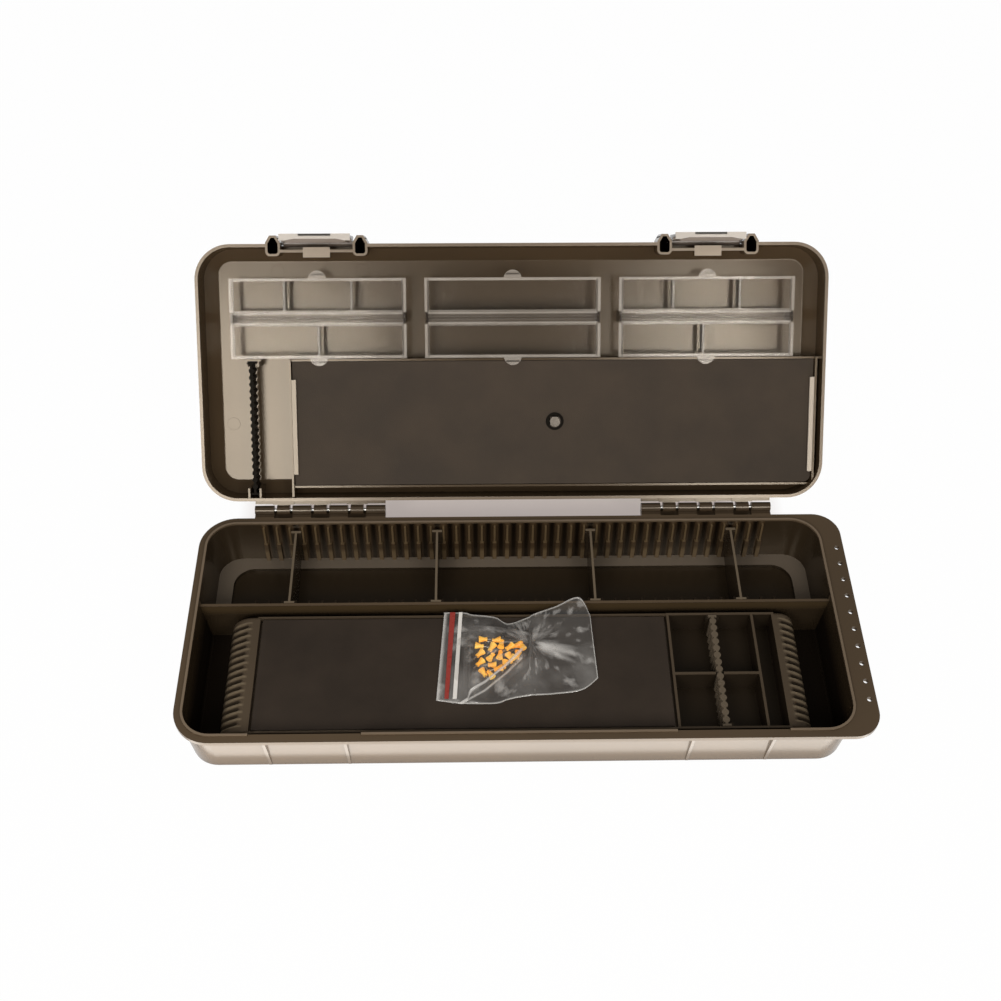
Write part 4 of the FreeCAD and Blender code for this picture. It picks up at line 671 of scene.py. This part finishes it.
def flap_dark(along, out, up):
    """Lines of painted shade: one along the hinge, one inside the border, and one across the tab."""
    hinge = out.within(0.0010, 0.0007)
    inside = BOX_HALF_LENGTH - BORDER - 0.0006
    beside = (abs(along - inside).within(0.0005, 0.0003) * out.within(BOX_HALF_WIDTH, 0.021)
              * out.within(BARRELS, BARRELS + 0.0006))
    tab = abs(out - TAB_LINE).within(0.0006, 0.0004) * along.within(0.0042, 0.0038)
    return most(hinge * 0.8, beside * 0.8, tab * 0.8)


clear_tray = clear_plastic("clear_tray", tray_pale, tray_dark, 0.004, 0.36)
clear_flap = clear_plastic("clear_flap", flap_pale, flap_dark, 0.012, 0.34)
for place_name in ("left", "middle", "right"):
    box_name = f"mini_box_{place_name}"
    dress(clear_tray, box_name)
    dress(clear_flap, f"{box_name}_front_flap", f"{box_name}_back_flap")


# Foam pad of the rig tray: a sheet of fine dark foam, laid in its bay.

def cut_foam(name, colour):
    finish = Finish(name)
    place = finish.place()
    cells = finish.node("ShaderNodeTexVoronoi", {}, {"Vector": place, "Scale": 1500.0})
    cloud = finish.noise(place, 35.0, 4.0)
    shade = finish.mix(cloud.within(0.3, 0.7), tone(*colour),
                       tone(*[value * 1.16 for value in colour]))
    shader = finish.node("ShaderNodeBsdfPrincipled", {},
                         {"Base Color": shade, "Roughness": cloud * 0.12 + 0.6,
                          "Specular IOR Level": 0.2,
                          "Normal": finish.bump(cells + cloud * 3.0, 0.00008, 0.5)})
    return finish.surface(shader)


def foam_sheet(name, low, high, material, swing=False, corner=None, hole=None):
    """A pad between two corners, with soft edges. Its far right corner can be cut round, and
    a hole can go through it."""
    low, high = Vector(low), Vector(high)
    bpy.ops.object.select_all(action="DESELECT")
    bpy.ops.mesh.primitive_cube_add(size=1.0, location=(low + high) / 2)
    pad = bpy.context.object
    pad.scale = high - low
    bpy.ops.object.transform_apply(location=False, rotation=False, scale=True)
    if corner is not None:
        bpy.ops.object.mode_set(mode="EDIT")
        bpy.ops.mesh.select_mode(type="EDGE")
        bpy.ops.mesh.select_all(action="DESELECT")
        bpy.ops.object.mode_set(mode="OBJECT")
        for edge in pad.data.edges:
            ends = [pad.data.vertices[index].co for index in edge.vertices]
            upright = abs(ends[0].x - ends[1].x) + abs(ends[0].y - ends[1].y) < 1e-6
            if upright and ends[0].x > 0 and ends[0].y > 0:
                edge.select = True
        bpy.ops.object.mode_set(mode="EDIT")
        bpy.ops.mesh.bevel(offset=corner, segments=10, affect="EDGES")
        bpy.ops.object.mode_set(mode="OBJECT")
    if hole is not None:
        centre, radius = hole
        bpy.ops.object.select_all(action="DESELECT")
        bpy.ops.mesh.primitive_cylinder_add(vertices=32, radius=radius, depth=0.02,
                                            location=centre)
        punch = bpy.context.object
        punching = pad.modifiers.new("hole", "BOOLEAN")
        punching.object = punch
        punching.operation = "DIFFERENCE"
        finish_modifiers(pad)
        bpy.data.objects.remove(punch)
    bevelled(pad, 0.0004, 3)
    return keep(pad, name, material, swing)


foam_black = cut_foam("foam_black", (51, 43, 36))
foam_low, foam_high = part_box("tray_foam")
margin = Vector((0.0003, 0.0003, 0.0))
foam_pad = foam_sheet("tray_foam_pad", foam_low + margin, foam_high - margin, foam_black)
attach(foam_pad, "tray_foam")
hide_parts("tray_foam")


# Board in the lid: a stiffer sheet of dark foam that rigs are pinned to, held under two lips
# and by the stud, with one corner cut round to suit the lid.

BOARD_LEFT, BOARD_RIGHT = -0.1285, 0.1760
BOARD_FRONT, BOARD_BACK = -0.0069, 0.0656
BOARD_FACE, BOARD_REAR = 0.0400, 0.0426
BOARD_CORNER = 0.004
STUD = (0.0245, 0.0286, 0.0413)
board_foam = cut_foam("board_foam", (60, 51, 42))
board = foam_sheet("rig_board_foam", (BOARD_LEFT, BOARD_FRONT, BOARD_FACE),
                   (BOARD_RIGHT, BOARD_BACK, BOARD_REAR), board_foam, swing=True,
                   corner=BOARD_CORNER, hole=(STUD, 0.0016))
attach(board, "lid")
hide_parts("rig_board")


# Bag of spare pins: a small press-seal bag of clear film, two sheets welded round the edge,
# twisted at the neck of its pouch and lying on the foam.

BAG_FLOOR = foam_high.z + 0.00025
# Rows across the bag, in millimetres: the front and back ends, how far the back end lifts, and
# where the pouch starts, stops and how high it stands.
BAG_ROWS = (
    ((-44.0, -46.0), (-40.2, 10.6), 0.0, -30.0, -10.0, 0.0),
    ((-31.8, -48.0), (-29.2, 10.4), 0.0, -33.0, -9.0, 1.2),
    ((-28.0, -48.1), (-26.8, 9.8), 0.0, -38.0, -8.0, 4.0),
    ((-24.8, -48.3), (-24.4, 9.0), 0.0, -43.0, -4.6, 7.6),
    ((-12.0, -48.2), (-12.0, 7.2), 0.0, -37.0, -5.4, 7.8),
    ((-4.4, -45.6), (-4.6, 2.6), 0.2, -30.0, -7.4, 7.8),
    ((5.8, -43.6), (6.2, 6.4), 0.4, -21.6, -9.4, 7.4),
    ((9.6, -43.3), (10.4, 8.6), 1.0, -19.6, -8.6, 3.6),
    ((20.0, -42.7), (22.3, 11.6), 3.8, -24.0, -6.0, 1.0),
    ((34.6, -40.3), (35.2, 15.0), 7.4, -26.0, -2.0, 0.3),
    ((43.6, -33.0), (41.3, 5.0), 3.4, -24.0, -8.0, 0.2),
)
BAG_SLOPE = 0.55
BAG_EDGE = 0.7
# Above the knee the film levels off, so that it never passes the top.
BAG_TOP, BAG_KNEE = 9.5, 8.5
BULGE_FOOT = 5.5
NECK = (8.0, -12.0)
# A fold that runs over the bag, from near its front left corner towards the neck.
FOLD = ((-31.0, -48.0), (-18.0, -40.0), (-6.0, -29.0), (2.0, -20.0))
# Wrinkles that fan out from the neck: direction in degrees, reach and depth.
FAN = ((80, 20, 0.9), (68, 24, 1.0), (52, 30, 0.6), (38, 36, 0.55), (22, 34, 0.4), (6, 40, 0.5),
       (-6, 42, 0.9), (-15, 46, 1.1), (-26, 46, 0.9), (-40, 34, 0.5), (-62, 28, 0.4), (118, 24, 0.9),
       (132, 26, 1.0), (146, 28, 0.8), (160, 28, 0.6), (-150, 30, 0.5), (-128, 26, 0.6))


def between(marks, spot):
    """The value at a spot along evenly spaced marks, on a smooth curve through them."""
    index = min(int(spot), len(marks) - 2)
    share = spot - index
    before, after = marks[max(index - 1, 0)], marks[min(index + 2, len(marks) - 1)]
    near, far = marks[index], marks[index + 1]
    bend = 2 * before - 5 * near + 4 * far - after
    twist = 3 * (near - far) + after - before
    return near + share * (far - before + share * (bend + share * twist)) / 2


def smooth(share):
    share = min(max(share, 0.0), 1.0)
    return share * share * (3 - 2 * share)


def away_from_fold(x, y):
    nearest = 99.0
    for (x1, y1), (x2, y2) in zip(FOLD, FOLD[1:]):
        length = math.hypot(x2 - x1, y2 - y1)
        share = ((x - x1) * (x2 - x1) + (y - y1) * (y2 - y1)) / length ** 2
        share = min(max(share, 0.0), 1.0)
        nearest = min(nearest, math.hypot(x - x1 - share * (x2 - x1), y - y1 - share * (y2 - y1)))
    return nearest


def crease(x, y):
    """Height of the film's wrinkles at a point, in millimetres."""
    across, along = x - NECK[0], y - NECK[1]
    distance = math.hypot(across, along)
    turn = math.degrees(math.atan2(along, across))
    height = 0.0
    for way, reach, depth in FAN:
        off = abs((turn - way + 180) % 360 - 180) * math.pi / 180 * max(distance, 2.0)
        width = 0.6 + 0.06 * distance
        fade = smooth(1 - distance / reach) * smooth(distance / 9.0)
        height += depth * math.exp(-(off / width) ** 2) * fade
    fold = away_from_fold(x, y)
    height += 1.5 * math.exp(-(fold / 0.7) ** 2)
    return height


def film(name, upper):
    """One sheet of the bag, with its wrinkles stored for the material."""
    columns, lines = 170, 110
    bpy.ops.object.select_all(action="DESELECT")
    bpy.ops.mesh.primitive_grid_add(x_subdivisions=columns, y_subdivisions=lines, size=2.0)
    sheet = bpy.context.object
    mesh = sheet.data
    strength = mesh.attributes.new("crease", "FLOAT", "POINT")
    edge_highlight = mesh.attributes.new("edge_highlight", "FLOAT", "POINT")
    for vertex in mesh.vertices:
        spot = (vertex.co.x + 1) / 2 * (len(BAG_ROWS) - 1)
        share = (vertex.co.y + 1) / 2
        front_x, front_y = (between([row[0][axis] for row in BAG_ROWS], spot) for axis in (0, 1))
        back_x, back_y = (between([row[1][axis] for row in BAG_ROWS], spot) for axis in (0, 1))
        lift, start, stop, rise = (between([row[index] for row in BAG_ROWS], spot)
                                   for index in (2, 3, 4, 5))
        x = front_x + share * (back_x - front_x)
        y = front_y + share * (back_y - front_y)
        level = BAG_SLOPE * share + lift * share * share
        height = 0.05
        wrinkle = crease(x, y)
        rim = min(share, 1 - share) * abs(back_y - front_y)
        if upper:
            bulge = smooth((y - start + BULGE_FOOT) / BULGE_FOOT * 0.9 + 0.1)
            bulge *= smooth((stop + BULGE_FOOT - y) / BULGE_FOOT * 0.9 + 0.1)
            soft = smooth(rim / 3.0)
            height = BAG_EDGE * 0.5 + rise * bulge + (0.3 + wrinkle) * soft
        height += level
        if height > BAG_KNEE:
            room = BAG_TOP - BAG_KNEE
            height = BAG_KNEE + room * (1 - math.exp((BAG_KNEE - height) / room))
        vertex.co = Vector((x, y, height)) * 0.001 + Vector((0, 0, BAG_FLOOR))
        strength.data[vertex.index].value = wrinkle
        # How near a point is to the bag's edge, where the film gets a painted highlight.
        end = min(spot * 4.0, (len(BAG_ROWS) - 1 - spot) * 8.0)
        edge_highlight.data[vertex.index].value = smooth(1.0 - min(rim, end))
    thick = sheet.modifiers.new("film", "SOLIDIFY")
    thick.thickness = 0.0001
    thick.offset = 1.0
    finish_modifiers(sheet)
    for face in mesh.polygons:
        face.use_smooth = True
    return keep(sheet, name, bag_film)


def clear_film():
    finish = Finish("bag_film")
    place = finish.place()
    mark = finish.node("ShaderNodeAttribute", {"attribute_name": "crease"}, out="Fac")
    cloud = finish.noise(place, 120.0, 3.0)
    haze = finish.noise(place, 45.0, 4.0)
    x, y = axes(finish)[:2]
    across, along = x - NECK[0] * 0.001, y - NECK[1] * 0.001
    turn = across.math("ARCTAN2", along, across)
    distance = across.math("SQRT", across * across + along * along)
    ray = finish.node("ShaderNodeCombineXYZ", {}, {"X": turn * 5.0, "Y": distance * 110.0})
    streak = finish.noise(ray, 1.0, 3.0)
    edge_highlight = finish.node("ShaderNodeAttribute", {"attribute_name": "edge_highlight"}, out="Fac")
    grazing = finish.node("ShaderNodeLayerWeight", {}, {"Blend": 0.3}, out="Fresnel")
    # Painted highlights: the film is whiter along its creases, in streaks that fan out from the neck
    # and along its edge.
    white = mark.within(0.3, 1.2) * 0.42 + streak.within(0.55, 0.72) * 0.15 + edge_highlight * 0.42
    share = white + haze.within(0.45, 0.75) * 0.06 + grazing * 0.08 + 0.018
    through = finish.node("ShaderNodeBsdfTransparent", {}, {"Color": (0.98, 0.98, 0.98, 1.0)})
    normal = finish.bump(cloud + streak * 0.6, 0.0006, 0.35)
    solid = finish.node("ShaderNodeBsdfPrincipled", {},
                        {"Base Color": tone(232, 229, 225), "Roughness": 0.1,
                         "Normal": normal})
    return finish.surface(finish.node("ShaderNodeMixShader", {},
                                      {0: share, 1: through, 2: solid}))


bag_film = clear_film()
bag_under = film("bag_film_under", False)
bag_over = film("bag_film_over", True)
for sheet, rest in ((bag_under, "tray_foam_pad"), (bag_over, "bag_film_under")):
    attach(sheet, "pin_bag")
    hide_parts("pin_bag")


# Press seal of the bag: a red band and a white profile, both welded to the film.

SEAL_LEAN, SEAL_MIDDLE = 0.06, 0.0336


def seal_plastic():
    finish = Finish("seal_plastic")
    place = finish.place()
    middle = finish.axis(place, 1) * SEAL_LEAN - SEAL_MIDDLE
    white = (finish.axis(place, 0) - middle).over(0.0)
    speck = finish.noise(place, 500.0, 2.0)
    shade = finish.mix(white, tone(158, 60, 52), tone(236, 232, 226))
    shader = finish.node("ShaderNodeBsdfPrincipled", {},
                         {"Base Color": shade, "Roughness": speck * 0.15 + 0.22})
    return finish.surface(shader)


dress(seal_plastic(), "bag_zip")


# Rig pins: a flared head in fluorescent orange plastic on a short steel needle, twenty loose.
# The heads glow faintly in their own colour, as painted light.

def orange_plastic():
    finish = Finish("orange_plastic")
    place = finish.place()
    patch = finish.noise(place, 160.0, 2.0)
    shade = finish.mix(patch.within(0.35, 0.65), tone(255, 168, 30), tone(255, 208, 92))
    # Painted light: a faint glow in the head's own colour.
    shader = finish.node("ShaderNodeBsdfPrincipled", {},
                         {"Base Color": shade, "Roughness": patch * 0.12 + 0.28,
                          "Emission Color": shade, "Emission Strength": 0.3})
    return finish.surface(shader)


dress(orange_plastic(), "rig_pin_heads")
